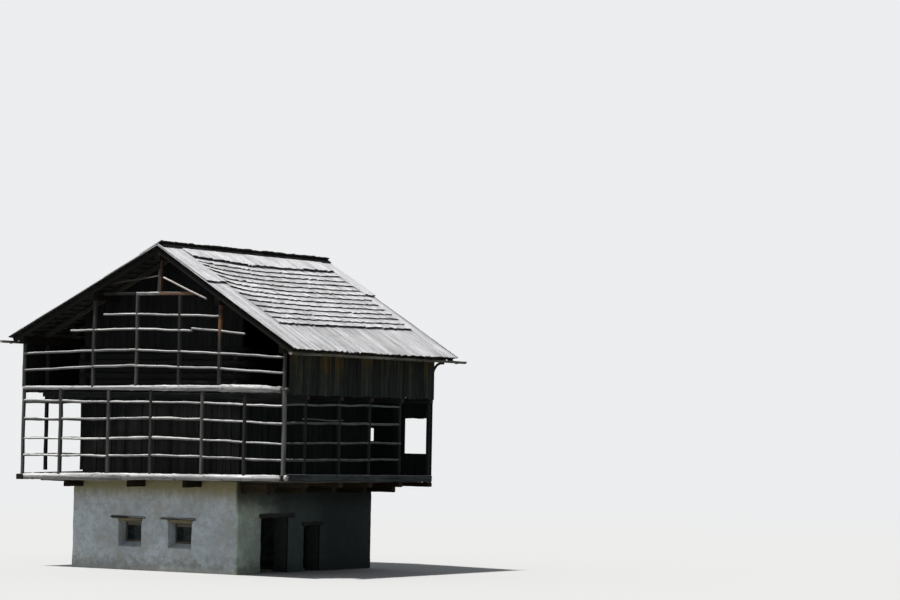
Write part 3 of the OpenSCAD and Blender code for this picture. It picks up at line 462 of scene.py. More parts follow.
def log_section(radius, sides, rng, lump=0.04, flat=1.0):
    """A round that is not quite round; flat keeps that share of its height."""
    turn = np.arange(sides) * 2 * math.pi / sides
    oval, corners = (np.sin(n * turn + rng.uniform(0, 6)) for n in (2, 3))
    section = round_section(radius * (1 + lump * oval + lump * 0.6 * corners), turn)
    section[:, 1] = np.clip(section[:, 1], -radius * flat, radius * flat)
    return section


def trough_section(radius, wall):
    """A half-round gutter, open at the top."""
    turn = np.linspace(math.pi * 0.94, math.pi * 2.06, 9)
    return np.concatenate([round_section(radius, turn), round_section(radius - wall, turn[::-1])])


def wander(rng, distance, reach):
    """Smooth random offsets of about one along a line; reach is the length of a wave."""
    total = np.zeros_like(distance)
    for _ in range(3):
        high = rng.uniform(0.4, 1.0)
        total += high * np.sin(2 * math.pi * distance / (reach * rng.uniform(0.6, 1.7)) + rng.uniform(0, 6.3))
    return total / 1.8


def settle(piece, nodes):
    """Puts a piece into the scene in place of its CAD nodes."""
    bpy.context.scene.collection.objects.link(piece)
    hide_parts(*nodes)
    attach(piece, "root")


class Piece:
    """Collects solids as one mesh. Every piece seeds its own random numbers from its name."""

    started = []

    def __init__(self, name, node, side, end=None, slot="frame_timber"):
        self.name, self.node, self.slot = name, node, slot
        self.materials = [side, end or side]
        self.rng = np.random.default_rng(zlib.crc32(name.encode()))
        self.points, self.faces, self.grain = [], [], []
        self.tones, self.kinds, self.smooth = [], [], []
        self.count = 0
        Piece.started.append(self)

    def solid(self, rings, section, along, smooth, tone):
        """Joins rings of points into a closed solid with an end cap on each end."""
        stations, sides, _ = rings.shape
        start = self.count
        self.points.append(rings.reshape(-1, 3))
        self.tones.append(np.repeat(np.broadcast_to(tone, stations), sides))
        self.count += stations * sides
        step = np.linalg.norm(np.roll(section, -1, 0) - section, axis=1)
        girth = np.concatenate([[0], np.cumsum(step)])
        shift = self.rng.uniform(0, 40, 2)
        for i in range(stations - 1):
            u0, u1 = along[i] + shift[0], along[i + 1] + shift[0]
            row, above = start + i * sides, start + (i + 1) * sides
            for j in range(sides):
                k = (j + 1) % sides
                v0, v1 = girth[j] + shift[1], girth[j + 1] + shift[1]
                self.faces.append((row + j, row + k, above + k, above + j))
                self.grain += [(u0, v0), (u0, v1), (u1, v1), (u1, v0)]
                self.kinds.append(0)
                self.smooth.append(smooth)
        last = start + (stations - 1) * sides
        self.faces.append(tuple(range(start + sides - 1, start - 1, -1)))
        self.grain += [tuple(p) for p in section[::-1]]
        self.faces.append(tuple(range(last, last + sides)))
        self.grain += [tuple(p) for p in section]
        self.kinds += [1, 1]
        self.smooth += [False, False]

    def beam(self, a, b, across, section, steps=1, wave=0.0, reach=2.0, swell=0.0, taper=0.0, lump=0.0,
             ragged=(0.0, 0.0), skew=(0.0, 0.0), mitre=0.0, smooth=False, tone=None, spread=0.18):
        """A timber from a to b. Its section's first axis lies along across, and mitre slopes its first end.

        section is an array of points, or the width, height and chamfer of a box. wave wanders off the
        line, swell and taper change the size, lump roughens it, ragged and skew shift and tilt the ends."""
        rng = self.rng
        section = box_section(*section) if isinstance(section, tuple) else section
        a, b, across = (np.asarray(v, float) for v in (a, b, across))
        length = np.linalg.norm(b - a)
        axis = (b - a) / length
        side = across - axis * across.dot(axis)
        side /= np.linalg.norm(side)
        normal = np.cross(axis, side)
        along = np.linspace(0, length, steps + 1)
        size = 1 + taper * (along / length - 0.5)
        if swell:
            size = size + swell * wander(rng, along, reach * 0.6)
        offset = [wave * wander(rng, along, reach) if wave else 0 * along for _ in range(2)]
        flat = section[None, :, :] * size[:, None, None]
        if lump:
            flat = flat + rng.normal(0, lump, flat.shape)
        shift = np.zeros((steps + 1, len(section)))
        shift[0] += mitre * section[:, 1]
        half = np.ptp(section[:, 0]) / 2
        for end in (0, -1):
            shift[end] += skew[end] * section[:, 0]
            if ragged[end]:
                slide = rng.uniform(-1, 1)
                shift[end] += ragged[end] * (slide + rng.uniform(-0.7, 0.7) * section[:, 0] / half)
        centre = a + axis * along[:, None] + side * offset[0][:, None] + normal * offset[1][:, None]
        rings = centre[:, None, :] + side * flat[:, :, 0:1] + normal * flat[:, :, 1:2]
        rings = rings + axis * shift[:, :, None]
        if tone is None:
            tone = 1 + rng.uniform(-spread, spread)
        self.solid(rings, section, along, smooth, tone)

    def rod(self, path, section, across, smooth=True):
        """A bent timber along a path of points."""
        path, across = np.asarray(path, float), np.asarray(across, float)
        lines = np.gradient(path, axis=0)
        lines /= np.linalg.norm(lines, axis=1)[:, None]
        rings = []
        for point, line in zip(path, lines):
            side = across - line * across.dot(line)
            side /= np.linalg.norm(side)
            rings.append(point + side * section[:, 0:1] + np.cross(line, side) * section[:, 1:2])
        along = np.concatenate([[0], np.cumsum(np.linalg.norm(np.diff(path, axis=0), axis=1))])
        self.solid(np.array(rings), section, along, smooth, 1 + self.rng.uniform(-0.15, 0.15))

    def boards(self, corner, run, rise, span, low, high, thick, widths=(0.14, 0.22), gap=0.004, holes=(),
               ragged=(0.0, 0.0), depth=0.004, steps=2, spread=0.22, chamfer=0.0, wave=0.002, base_tone=1.0,
               closed=False):
        """Boards side by side along run, each reaching along rise from low to high, which may depend on s.

        A hole is (s0, s1, r0, r1): the boards between s0 and s1 leave out r0 to r1.
        closed puts a dark skin in the middle, so that no light comes through between the boards."""
        low, high, base_tone = (v if callable(v) else lambda s, v=v: v for v in (low, high, base_tone))
        if closed:
            self.skin(corner, run, rise, span, lambda s: low(s) + LINING_IN, lambda s: high(s) - LINING_IN,
                      0.3 * thick, holes)
        rng = self.rng
        corner, run, rise = (np.asarray(v, float) for v in (corner, run, rise))
        out = np.cross(rise, run)
        edges = [0.0]
        while edges[-1] < span:
            edges.append(edges[-1] + rng.uniform(*widths))
        edges[-1] = span
        if edges[-1] - edges[-2] < 0.5 * widths[0]:
            del edges[-2]
        sides = [line for hole in holes for line in hole[:2] if 0 < line < span]
        edges = [e for e in edges if e in (0.0, span) or all(abs(e - line) > HOLE_CLEAR for line in sides)]
        edges = np.unique(edges + sides)
        for p, q in zip(edges[:-1], edges[1:]):
            if q - p < NARROWEST:
                continue
            middle = (p + q) / 2
            parts = [(low(p), low(q), high(p), high(q))]
            for s0, s1, r0, r1 in holes:
                if s0 < middle < s1:
                    parts = [x for g in parts for x in ((g[0], g[1], r0, r0), (r1, r1, g[2], g[3]))]
            tone = base_tone(middle) * (1 + rng.uniform(-spread, spread))
            base = corner + run * middle + out * rng.uniform(-depth, depth)
            for lo0, lo1, hi0, hi1 in parts:
                if min(hi0 - lo0, hi1 - lo1) >= SHORTEST:
                    self.beam(base + rise * (lo0 + lo1) / 2, base + rise * (hi0 + hi1) / 2, run,
                              (q - p - gap, thick, chamfer), steps=steps, wave=wave, reach=3.0, ragged=ragged,
                              skew=((lo1 - lo0) / (q - p), (hi1 - hi0) / (q - p)), tone=tone)

    def skin(self, corner, run, rise, span, low, high, thick, holes=()):
        """A dark lining of wide boards without gaps."""
        self.boards(corner, run, rise, span, low, high, thick, (0.5, 0.8), 0.0, holes, depth=0.0, wave=0.0,
                    base_tone=0.4)

    def floor(self, x0, x1, y0, y1, z):
        """Floor boards from front to back."""
        self.boards((x0, 0, z), X, Y, x1 - x0, y0, y1, FLOOR_T)

    def post(self, x, y, z0, z1, width=POST_W, tone=None):
        rng = self.rng
        foot, head = (np.array((x, y, z)) + (*rng.uniform(-POST_LEAN, POST_LEAN, 2), 0) for z in (z0, z1))
        section = (width * rng.uniform(0.92, 1.06), width * rng.uniform(0.92, 1.06), 0.018)
        self.beam(foot, head, X, section, steps=7, wave=0.006, reach=1.6, lump=0.0022, swell=0.03, tone=tone,
                  spread=0.2)

    def rail(self, a, b, radius=RAIL_R):
        """A pole laid through the posts."""
        rng = self.rng
        section = log_section(radius * rng.uniform(0.86, 1.1), 9, rng, 0.12)
        self.beam(a, b, Z, section, steps=max(4, round(math.dist(a, b) / RAIL_STEP)), wave=0.009, reach=1.5,
                  swell=0.12, taper=rng.uniform(-0.25, 0.25), lump=0.0022, smooth=True, spread=0.15)

    def log(self, xs, heights, radii, y, steps, lumpy=0.03, ragged=0.012, tone=1.0):
        """A hewn log along X through the given heights and radii, knotty and thicker in places."""
        rng = self.rng
        x = np.linspace(xs[0], xs[1], steps)
        z = np.interp(x, *heights)
        if steps > 12:
            z = np.convolve(np.pad(z, 4, "edge"), np.ones(9) / 9, "valid") + 0.004 * wander(rng, x, 1.3)
        size = np.interp(x, *radii) * (1 + lumpy * wander(rng, x, 1.1))
        for knot in rng.uniform(xs[0], xs[1], round(KNOTS_TO_M * (xs[1] - xs[0]))):
            size *= 1 + rng.uniform(0.04, 0.14) * np.exp(-((x - knot) / KNOT_W) ** 2)
        turn = np.arange(LOG_SIDES) * 2 * math.pi / LOG_SIDES
        rings = []
        for i in range(steps):
            lump = 1 + 0.04 * np.sin(2 * turn + 0.8 * x[i]) + 0.03 * np.sin(5 * turn + 1.9 * x[i])
            r = size[i] * (lump + rng.normal(0, 0.012, LOG_SIDES))
            shift = rng.uniform(-ragged, ragged, LOG_SIDES) if i in (0, steps - 1) else 0
            middle = y + 0.004 * math.sin(2.3 * x[i])
            ring = (x[i] + shift + 0 * turn, middle - r * np.cos(turn), z[i] + r * np.sin(turn))
            rings.append(np.stack(ring, 1))
        section = size.mean() * round_section(1, turn)
        self.solid(np.array(rings)[:, ::-1], section[::-1], x - x[0], True, tone)

    def roof_board(self, side, y, width, x0, x1, z0, z1, thick, steps, ragged=0.02, tone=None):
        """A board down the slope whose top plane goes from z0 to z1."""
        self.beam(slope_point(side, x0, y, z0 - thick / 2), slope_point(side, x1, y, z1 - thick / 2), Y,
                  (width - 0.007, thick, 0.003), steps=steps, wave=0.0025, reach=2.5, lump=0.0006,
                  ragged=(ragged if x0 < 0 else 0, ragged), tone=tone, spread=0.14)

    def side_by_side(self, y0, y1, widths):
        """Splits a width into boards: the middle and the width of each."""
        count = max(1, round((y1 - y0) / widths))
        shares = self.rng.uniform(0.7, 1.3, count)
        edges = y0 + (y1 - y0) * np.concatenate([[0], np.cumsum(shares) / shares.sum()])
        return [((p + q) / 2, q - p) for p, q in zip(edges[:-1], edges[1:])]

    def make(self):
        mesh = bpy.data.meshes.new(self.name)
        mesh.from_pydata(np.concatenate(self.points).tolist(), [], self.faces)
        mesh.uv_layers.new(name="grain").data.foreach_set("uv", np.array(self.grain, np.float32).ravel())
        tone = mesh.attributes.new("tone", "FLOAT", "POINT")
        tone.data.foreach_set("value", np.concatenate(self.tones).astype(np.float32))
        mesh.polygons.foreach_set("material_index", np.array(self.kinds, np.int32))
        mesh.polygons.foreach_set("use_smooth", np.array(self.smooth, bool))
        for material in self.materials:
            mesh.materials.append(material)
        mesh.validate()
        settle(bpy.data.objects.new(self.name, mesh), [self.node])


# Masonry


def carved(outer, cuts, cell):
    """The surface of a box less some boxes, as quads on a grid that follows every edge."""
    lines = []
    for axis in range(3):
        marks = {outer[0][axis], outer[1][axis]}
        for low, high in cuts:
            marks |= {m for m in (low[axis], high[axis]) if outer[0][axis] < m < outer[1][axis]}
        marks = sorted(marks)
        fine = [np.linspace(p, q, max(1, round((q - p) / cell)), endpoint=False)
                for p, q in zip(marks[:-1], marks[1:])]
        lines.append(np.concatenate(fine + [[marks[-1]]]))
    middles = [(line[1:] + line[:-1]) / 2 for line in lines]
    grid = np.stack(np.meshgrid(*middles, indexing="ij"), axis=-1)
    solid = np.ones(grid.shape[:3], bool)
    for low, high in cuts:
        solid &= ~np.all((grid > low) & (grid < high), axis=-1)
    shape = [len(line) for line in lines]
    solid = np.pad(solid, 1)
    quads = []
    for axis in range(3):
        b, c = (axis + 1) % 3, (axis + 2) % 3
        step = np.moveaxis(solid, axis, 0)
        for outward, found in ((True, step[:-1] & ~step[1:]), (False, ~step[:-1] & step[1:])):
            where = np.argwhere(np.moveaxis(found, 0, axis))
            where[:, b] -= 1
            where[:, c] -= 1
            corners = []
            for db, dc in ((0, 0), (1, 0), (1, 1), (0, 1)):
                db, dc = (db, dc) if outward else (dc, db)
                corner = where.copy()
                corner[:, b] += db
                corner[:, c] += dc
                corners.append(np.ravel_multi_index(corner.T, shape))
            quads.append(np.stack(corners, axis=1))
    used, quads = np.unique(np.concatenate(quads), return_inverse=True)
    index = np.stack(np.unravel_index(used, shape), axis=1)
    points = np.stack([lines[axis][index[:, axis]] for axis in range(3)], axis=1)
    return points, quads.reshape(-1, 4)


def plastered(points, quads, push):
    """Softens the edges, then lets the surface swell and sink as plaster on rubble does."""
    foot = points[:, 2] < 1e-6
    edges = np.concatenate([quads[:, [i, (i + 1) % 4]] for i in range(4)])
    edges = np.unique(np.sort(edges, axis=1), axis=0)
    degree = np.bincount(edges.ravel(), minlength=len(points))[:, None]
    total = np.zeros_like(points)
    np.add.at(total, edges[:, 0], points[edges[:, 1]])
    np.add.at(total, edges[:, 1], points[edges[:, 0]])
    points = points * 0.5 + total / degree * 0.5
    points[foot, 2] = 0.0
    diagonal = np.cross(points[quads[:, 2]] - points[quads[:, 0]], points[quads[:, 3]] - points[quads[:, 1]])
    normals = np.zeros_like(points)
    for i in range(4):
        np.add.at(normals, quads[:, i], diagonal)
    normals /= np.linalg.norm(normals, axis=1)[:, None] + 1e-12
    amount = [push * sum(share * noise.noise(Vector(p) * waves) for share, waves in PLASTER_WAVES)
              for p in points]
    points = points + normals * np.array(amount)[:, None]
    points[foot, 2] = 0.0
    return points


def masonry():
    """All four walls as one plastered shell with its niches, doorways and beam pockets."""
    far = 9.0
    cuts = []

    def cut(x0, x1, y0, y1, z0, z1):
        cuts.append(((x0, y0, z0), (x1, y1, z1)))

    cut(BASE_L + WALL_T, BASE_R - WALL_T, BASE_F + WALL_T, BASE_B - WALL_T, -far, far)
    for y in BAY_Y:
        cut(-far, far, y - BEAM_W / 2, y + BEAM_W / 2, BASE_H - OUTRIGGER_H, far)
    cut(-far, far, CORE_B, far, BASE_H - OUTRIGGER_H, far)
    for x in CANTILEVER_X:
        half = CANTILEVER_W / 2 - 0.01
        cut(x - half, x + half, -far, CORE_F, cantilever_z(x) - 0.08, far)
    for x in NICHE_X:
        x0, x1 = x - NICHE_HALF, x + NICHE_HALF
        cut(x0, x1, -far, BASE_F + WALL_T + 0.1, NICHE_Z, NICHE_TOP)
        cut(x0, x1, -far, GLASS_Y - FRAME_T / 2 - 0.02, NICHE_Z - SILL_FALL - 0.02, NICHE_Z + 0.1)
        cut(x0 - 0.02, x1 + 0.02, -far, BASE_F + WALL_T / 2, NICHE_TOP - 0.01, NICHE_TOP + HEAD_LINTEL + 0.01)
        cut(x0 - PLANK_OVER[0], x1 + PLANK_OVER[1], -far, BASE_F + WALL_T / 2, NICHE_TOP + HEAD_LINTEL,
            NICHE_TOP + LINTEL_H)
    for start, width, height in DOORS:
        y = BASE_F + start
        cut(BASE_R - WALL_T - 0.1, far, y, y + width, -far, height)
        cut(BASE_R - WALL_T / 2, far, y - 0.10, y + width + LINTEL_OVER * width, height, height + LINTEL_H)
    points, quads = carved(((BASE_L, BASE_F, 0.0), (BASE_R, BASE_B, BASE_H)), cuts, PLASTER_CELL)
    points = plastered(points, quads, PLASTER_PUSH)
    mesh = bpy.data.meshes.new("masonry")
    mesh.from_pydata(points.tolist(), [], quads.tolist())
    mesh.materials.append(plaster)
    mesh.polygons.foreach_set("use_smooth", np.ones(len(quads), bool))
    mesh.set_sharp_from_angle(angle=math.radians(SHARP_EDGE))
    settle(bpy.data.objects.new("masonry", mesh),
           ["base_front_wall", "base_back_wall", "base_left_wall", "base_right_wall"])


masonry()
for node, material in (("base_floor", trodden_stone()), ("window_glass", old_glass())):
    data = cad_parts[node].data
    data.materials.clear()
    data.materials.append(material)

sills = Piece("window_sill_slopes", "base_front_wall", plaster, slot="masonry")
front, back, low = BASE_F + 0.004, GLASS_Y - FRAME_T / 2 + 0.012, NICHE_Z - SILL_FALL
shape = np.array([(front, low - 0.06), (back, low - 0.06), (back, NICHE_Z - 0.001),
                  (front + 0.02, low + 0.006), (front, low - 0.01)])
for x in NICHE_X:
    sills.beam((x - NICHE_HALF - 0.03, 0, 0), (x + NICHE_HALF + 0.03, 0, 0), Y, shape, steps=8, lump=HEWN)

# Windows and lintels
windows = Piece("windows", "window_frames", window_wood, slot="window_timber")
for x in NICHE_X:
    for sign in SIGN.values():
        jamb = x + sign * (NICHE_HALF - FRAME_W / 2)
        windows.beam((jamb, GLASS_Y, NICHE_Z), (jamb, GLASS_Y, NICHE_TOP), X, (FRAME_W, FRAME_T, 0.006),
                     tone=0.52)
    for z, high, steps, lump, tone in ((NICHE_Z + FRAME_W / 2, FRAME_W, 1, 0.0, 0.6),
                                       (NICHE_TOP - HEAD_H / 2, HEAD_H, 3, 0.001, 0.85)):
        windows.beam((x - NICHE_HALF + FRAME_W, GLASS_Y, z), (x + NICHE_HALF - FRAME_W, GLASS_Y, z), Z,
                     (high, FRAME_T * 0.96, 0.006), steps=steps, lump=lump, tone=tone)

lintels = Piece("lintel_beams", "lintels", lintel_wood, dark_end)
planks = Piece("lintel_planks", "lintels", post_wood, dark_end)
left, right, y = -NICHE_HALF - PLANK_OVER[0], NICHE_HALF + PLANK_OVER[1], BASE_F + WALL_T / 4
# Over the left window two planks meet: ends from the middle of the niche, tone, height
parts = (((left, -NICHE_HALF + 0.35, 0.9, 0.038), (-NICHE_HALF + 0.36, right, 4.6, 0.030)),
         ((left, right, 3.2, 0.028),))
for x, over in zip(NICHE_X, parts):
    z = NICHE_TOP + (HEAD_LINTEL - LINTEL_DROP) / 2
    lintels.beam((x - NICHE_HALF - 0.015, y, z), (x + NICHE_HALF + 0.015, y, z), Y,
                 (WALL_T / 2 - 0.02, HEAD_LINTEL + LINTEL_DROP, 0.010), steps=8, lump=HEWN, tone=0.9)
    z = NICHE_TOP + (HEAD_LINTEL + LINTEL_H) / 2
    for x0, x1, tone, high in over:
        planks.beam((x + x0, y - 0.02, z + 0.006), (x + x1, y - 0.02, z - 0.004), Y,
                    (WALL_T / 2 + 0.02, high, 0.006), steps=9, lump=SAWN, wave=0.002, tone=tone)
for start, width, height in DOORS:
    x, y, z = BASE_R - WALL_T / 4 + 0.010, BASE_F + start, height + LINTEL_H / 2
    planks.beam((x, y - 0.10, z), (x, y + width + LINTEL_OVER * width, z + 0.02 * width), X,
                (WALL_T / 2 + 0.02, LINTEL_H + 0.01, 0.012), steps=7, lump=HEWN, tone=0.9)

# Floor beams
outriggers = Piece("outrigger_beams", "outriggers", beam_wood, dark_end)
# Painted light and shade: the tones of the outriggers, front to back, follow how much light reaches them under
# the right gallery, darkest at the back
for y, tone in zip(BAY_Y, (0.75, 1.0, 0.9, 0.6, 0.5)):
    z = BASE_H - OUTRIGGER_H / 2 - 0.002
    outriggers.beam((BASE_L, y, z), (BASE_R + REACH, y, z), Y, (BEAM_W, OUTRIGGER_H - 0.004, 0.025), steps=16,
                    lump=ROUGH, swell=0.008, ragged=(0, 0.012), tone=tone)
    z = BASE_H - NOSE_H / 2 - 0.004
    for x0, x1 in ((RACK_L - NOSE_OVER, BASE_L + 0.1), (BASE_R + REACH - 0.1, RACK_R + NOSE_OVER)):
        outriggers.beam((x0, y, z), (x1, y, z), Y, (BEAM_W - 0.012, NOSE_H - 0.008, 0.02), steps=7,
                        lump=HEWN, ragged=(0.008, 0.008), tone=0.7 * tone)

cantilevers = Piece("cantilever_beams", "front_cantilevers", beam_wood, dark_end)
for x in CANTILEVER_X:
    z = cantilever_z(x)
    cantilevers.beam((x, RACK_F + 0.08, z), (x, CORE_F - BEAM_W / 2, z + 0.01), X,
                     (CANTILEVER_W, CANTILEVER_H, 0.02), steps=5, lump=ROUGH, ragged=(0.015, 0), tone=0.42)

front_sill = Piece("front_sill_logs", "front_sill", log_wood, pale_end, "weathered_log")
for x0, x1, radii, steps, tone in ((RACK_L - 0.03, -0.52, SILL_R, 72, 1.0),
                                   (-0.58, RACK_R - 0.025, SILL_R, 96, 1.04),
                                   # The narrow neck near the right end is darker (tone 0.3): painted shade of
                                   # its notch
                                   (RACK_R - 0.035, RACK_R + 0.09, ((0, 1), (0.050, 0.050)), 4, 0.3),
                                   (RACK_R + 0.075, RACK_R + 0.155, ((4.9, 5.03), (0.080, 0.068)), 4, 1.2)):
    front_sill.log((x0, x1), (BOW_X, SILL_Z), radii, RACK_F, steps, tone=tone)

side_sills = Piece("side_sill_beams", "side_sills", sill_wood, dark_end)
for x, nose, settled in ((RACK_L, 0.15, SILL_Z[0]), (RACK_R, 0.06, SILL_Z[-1])):
    for y0, y1, z0, z1, high, tone in (
            (RACK_F - nose, RACK_F + 0.3, settled - 0.01, settled, 0.15, 0.5),
            (RACK_F + 0.12, SIDE_BACK, settled + 0.01, BASE_H + SILL_D / 2, SILL_D * 0.94, 1)):
        side_sills.beam((x, y0, z0), (x, y1, z1), X, (BEAM_W * 0.96, high, 0.02), steps=12, lump=HEWN,
                        swell=0.012, tone=tone)

lower_floors = Piece("lower_floor_boards", "lower_floors", floor_wood)
floor_z, front = BASE_H + FLOOR_UP, RACK_F + 0.105
for x0, x1 in ((RACK_L + 0.1, -0.3), (-0.295, RACK_R - 0.1)):
    lower_floors.boards((0, front, floor_z), Y, X, CORE_F - PLANK_HALF - front, x0, x1, FLOOR_T)
for x0, x1 in ((RACK_L + 0.1, CORE_L - PLANK_HALF), (CORE_R + PLANK_HALF, RACK_R - 0.1)):
    lower_floors.floor(x0, x1, CORE_F - PLANK_HALF, SIDE_BACK, floor_z)
lower_floors.floor(CORE_L + PLANK_HALF, CORE_R - PLANK_HALF, CORE_F + PLANK_HALF, CORE_B - PLANK_HALF,
                   floor_z)

# Lower storey
CORE_BOARDS = dict(widths=(0.18, 0.30), gap=0.008, depth=0.010, steps=4, wave=0.003, chamfer=0.008,
                   closed=True)
for name, y, material in (("lower_core_front", CORE_F, core_wood), ("lower_core_back", CORE_B, back_wood)):
    wall = Piece(name + "_planks", name, material, slot="dark_boards")
    wall.boards((CORE_L - PLANK_HALF, y, 0), X, Z, CORE_R - CORE_L + 2 * PLANK_HALF, BASE_H, CROSS_LOW,
                PLANK_WALL, **CORE_BOARDS)
for name, x, material in (("lower_core_left", CORE_L, back_wood),
                          ("lower_core_right", CORE_R, side_core_wood)):
    wall = Piece(name + "_planks", name, material, slot="dark_boards")
    y0 = CORE_F + PLANK_HALF
    pockets = [(y - CROSS / 2 - y0, y + CROSS / 2 - y0, CROSS_LOW, OPEN_TOP) for y in BAY_Y]
    wall.boards((x, y0, 0), Y, Z, CORE_B - PLANK_HALF - y0, BASE_H, UPPER_Z - 0.002, PLANK_WALL,
                holes=pockets, **CORE_BOARDS)

lower_rack = Piece("front_lower_rack_poles", "front_lower_rack", rail_wood, pale_end)
stops = [RACK_L - 0.02, FRONT_X[2] + 0.03, FRONT_X[3] + 0.03, FRONT_X[4] + 0.02, RACK_R + 0.02]
for heights in RAIL_Z:
    for x0, x1 in zip(stops[:-1], stops[1:]):
        z0, z1 = np.interp((x0, x1), BOW_X, heights) + lower_rack.rng.uniform(-0.006, 0.006, 2)
        lower_rack.rail((x0, RACK_F, z0), (x1 + 0.03, RACK_F, z1))

posts = Piece("front_lower_posts", "front_lower_rack", post_wood, dark_end)
for x, off, tone in zip(FRONT_X, (0, 0, 0.045, 0.03, 0.03, 0.04, 0.01), (1.7, 1.1, 1.4, 0.75, 1.7, 0.5, 2.2)):
    posts.post(x + off, RACK_F, np.interp(x, BOW_X, SILL_Z) + 0.06, UPPER_Z + 0.06, tone=tone)

for name, x, bays, width, material in (("left_lower_rack", RACK_L, BAY_Y, POST_W, rail_wood),
                                       ("right_lower_rack", RACK_R, BAY_Y[:-1], 0.086, painted_shade_rail_wood)):
    poles = Piece(name + "_poles", name, material, pale_end)
    side = Piece(name + "_posts", name, shade_wood, dark_end)
    for y in bays:
        side.post(x, y, SILL_TOP - 0.03, CROSS_LOW, width)
    for z in LOWER_RAIL_Z:
        middle, drift = BAY_Y[2], poles.rng.uniform(-0.02, 0.02, 3)
        poles.rail((x, RACK_F, z + drift[0] - 0.02), (x, middle, z + drift[1]), SIDE_RAIL_R)
        poles.rail((x, middle - 0.08, z + drift[1]), (x, bays[-1] + 0.05, z + drift[2]), SIDE_RAIL_R)
        if x == RACK_L:
            poles.rail((RACK_L + 0.03, CORE_B, z + drift[2]), (CORE_L - 0.05, CORE_B, z + drift[2]))
poles.rail((RACK_R, BAY_Y[0] - 0.1, 4.262), (RACK_R, BAY_Y[1] + 0.2, 4.247), 0.018)

for name, y, material, past in (("back_lower_lining", BACK_Y - 0.008, side_core_wood, 0.10),
                                ("back_lower_planks", BACK_Y + 0.008, back_wood, 0.0)):
    start = CORE_R + PLANK_HALF - past
    holes = [(x0 - start, x1 - start, z0, z1) for x0, x1, z0, z1 in (HATCH, SLIT)]
    back_lower = Piece(name, "back_lower_boards", material, slot="dark_boards")
    back_lower.boards((start, y, 0), X, Z, RACK_R + 0.065 - start, BASE_H, UPPER_Z, 0.0145, (0.16, 0.26),
                      0.006, holes, (0.01, 0.0), 0.001)
back_post = Piece("back_corner_post", "back_lower_boards", shade_wood, dark_end)
back_post.post(RACK_R, CORE_B, SILL_TOP - 0.02, CROSS_LOW)

# Beams between the storeys
cross_beams = Piece("cross_beam_timbers", "cross_beams", shade_wood, dark_end)
for y in BAY_Y:
    z = UPPER_Z - CROSS / 2
    cross_beams.beam((RACK_L - NOSE_OVER, y, z), (RACK_R + NOSE_OVER, y, z), Y,
                     (CROSS - 0.006, CROSS - 0.004, 0.016), steps=14, lump=SAWN, swell=0.01)
for x0, x1 in ((RACK_L - 0.02, CORE_L), (CORE_R, RACK_R + 0.02)):
    z = CROSS_LOW - 0.055
    cross_beams.beam((x0, CORE_F, z), (x1, CORE_F, z), Y, (0.14, 0.115, 0.016), steps=8, lump=SAWN,
                     swell=0.01, tone=0.7)

ring = Piece("front_ring_logs", "ring_beams", log_wood, pale_end, "weathered_log")
for x0, x1, radii, off, steps, ragged, tone in (
        (RACK_L - 0.01, 2.92, RING_R, 0.012, 100, 0.012, 1.0),
        (2.80, 4.53, ((2.8, 3.6, 4.1, 4.5), (0.100, 0.103, 0.096, 0.078)), 0.02, 44, 0.03, 1.0),
        (4.50, 4.79, ((4.5, 4.62, 4.7, 4.8), (0.082, 0.070, 0.088, 0.076)), 0.02, 12, 0.025, 0.8),
        (4.74, 5.0, ((4.7, 5.0), (0.062, 0.055)), 0, 6, 0.02, 0.22)):
    ring.log((x0, x1), RING_Z, radii, RACK_F - off, steps, 0.05, ragged, tone)
for x in RACK_X.values():
    z = UPPER_Z + RING_H / 2
    ring.beam((x, RACK_F + 0.08, z), (x, SIDE_BACK, z), X, (RING_W - 0.005, RING_H - 0.005, 0.015), steps=12,
              lump=SAWN, tone=0.25)

upper_floor = Piece("upper_floor_boards", "upper_floor", floor_wood)
z = UPPER_Z + FLOOR_UP
upper_floor.floor(CORE_L + LOG_HALF, CORE_R - LOG_HALF, CORE_F + LOG_HALF, CORE_B - LOG_HALF, z)
upper_floor.floor(CORE_R + LOG_HALF, RACK_R - RING_W / 2, CORE_F - CROSS / 2,
                  CORE_B - LOG_HALF - LOG_OVER - LOG_H, z)

# Upper storey
for name, crosses, place, material, end in (("upper_core_front", True, CORE_F, core_wood, butt_end),
                                            ("upper_core_back", True, CORE_B, back_wood, dark_end),
                                            ("upper_core_left", False, CORE_L, core_wood, butt_end),
                                            ("upper_core_right", False, CORE_R, core_wood, butt_end)):
    wall = Piece(name + "_logs", name, material, end, "dark_boards")
    for i in range(LOG_N):
        reach = LOG_HALF + LOG_OVER if (i % 2 == 0) == crosses else -LOG_HALF
        z = UPPER_Z + (i + 0.5) * LOG_H
        if crosses:
            a, b, across = (CORE_L - reach, place, z), (CORE_R + reach, place, z), Y
        else:
            a, b, across = (place, CORE_F - reach, z), (place, CORE_B + reach, z), X
        wall.beam(a, b, across, log_section(0.094, 14, wall.rng, 0.02, 0.955), steps=16, wave=0.004,
                  reach=3.0, ragged=(0.01, 0.01), smooth=True, spread=0.3)


def purlin_pocket(x, start):
    """The hole for a purlin in boards that begin at start."""
    return x - PURLIN_W / 2 - start, x + PURLIN_W / 2 - start, purlin_bottom(x), OPEN_TOP


x0, x1 = CORE_L - LOG_HALF, CORE_R + LOG_HALF
for name, y, material in (("front_gable", CORE_F, core_wood), ("back_gable", CORE_B, back_wood)):
    gable_planks = Piece(name + "_planks", "gables", material, slot="dark_boards")
    gable_planks.boards((x0, y, 0), X, Z, x1 - x0, LOG_TOP - 0.01, lambda s: under(x0 + s) - 0.004, 0.055,
                        (0.16, 0.27), 0.006, [purlin_pocket(x, x0) for x in PURLIN_X[1:4]], depth=0.006,
                        closed=True)

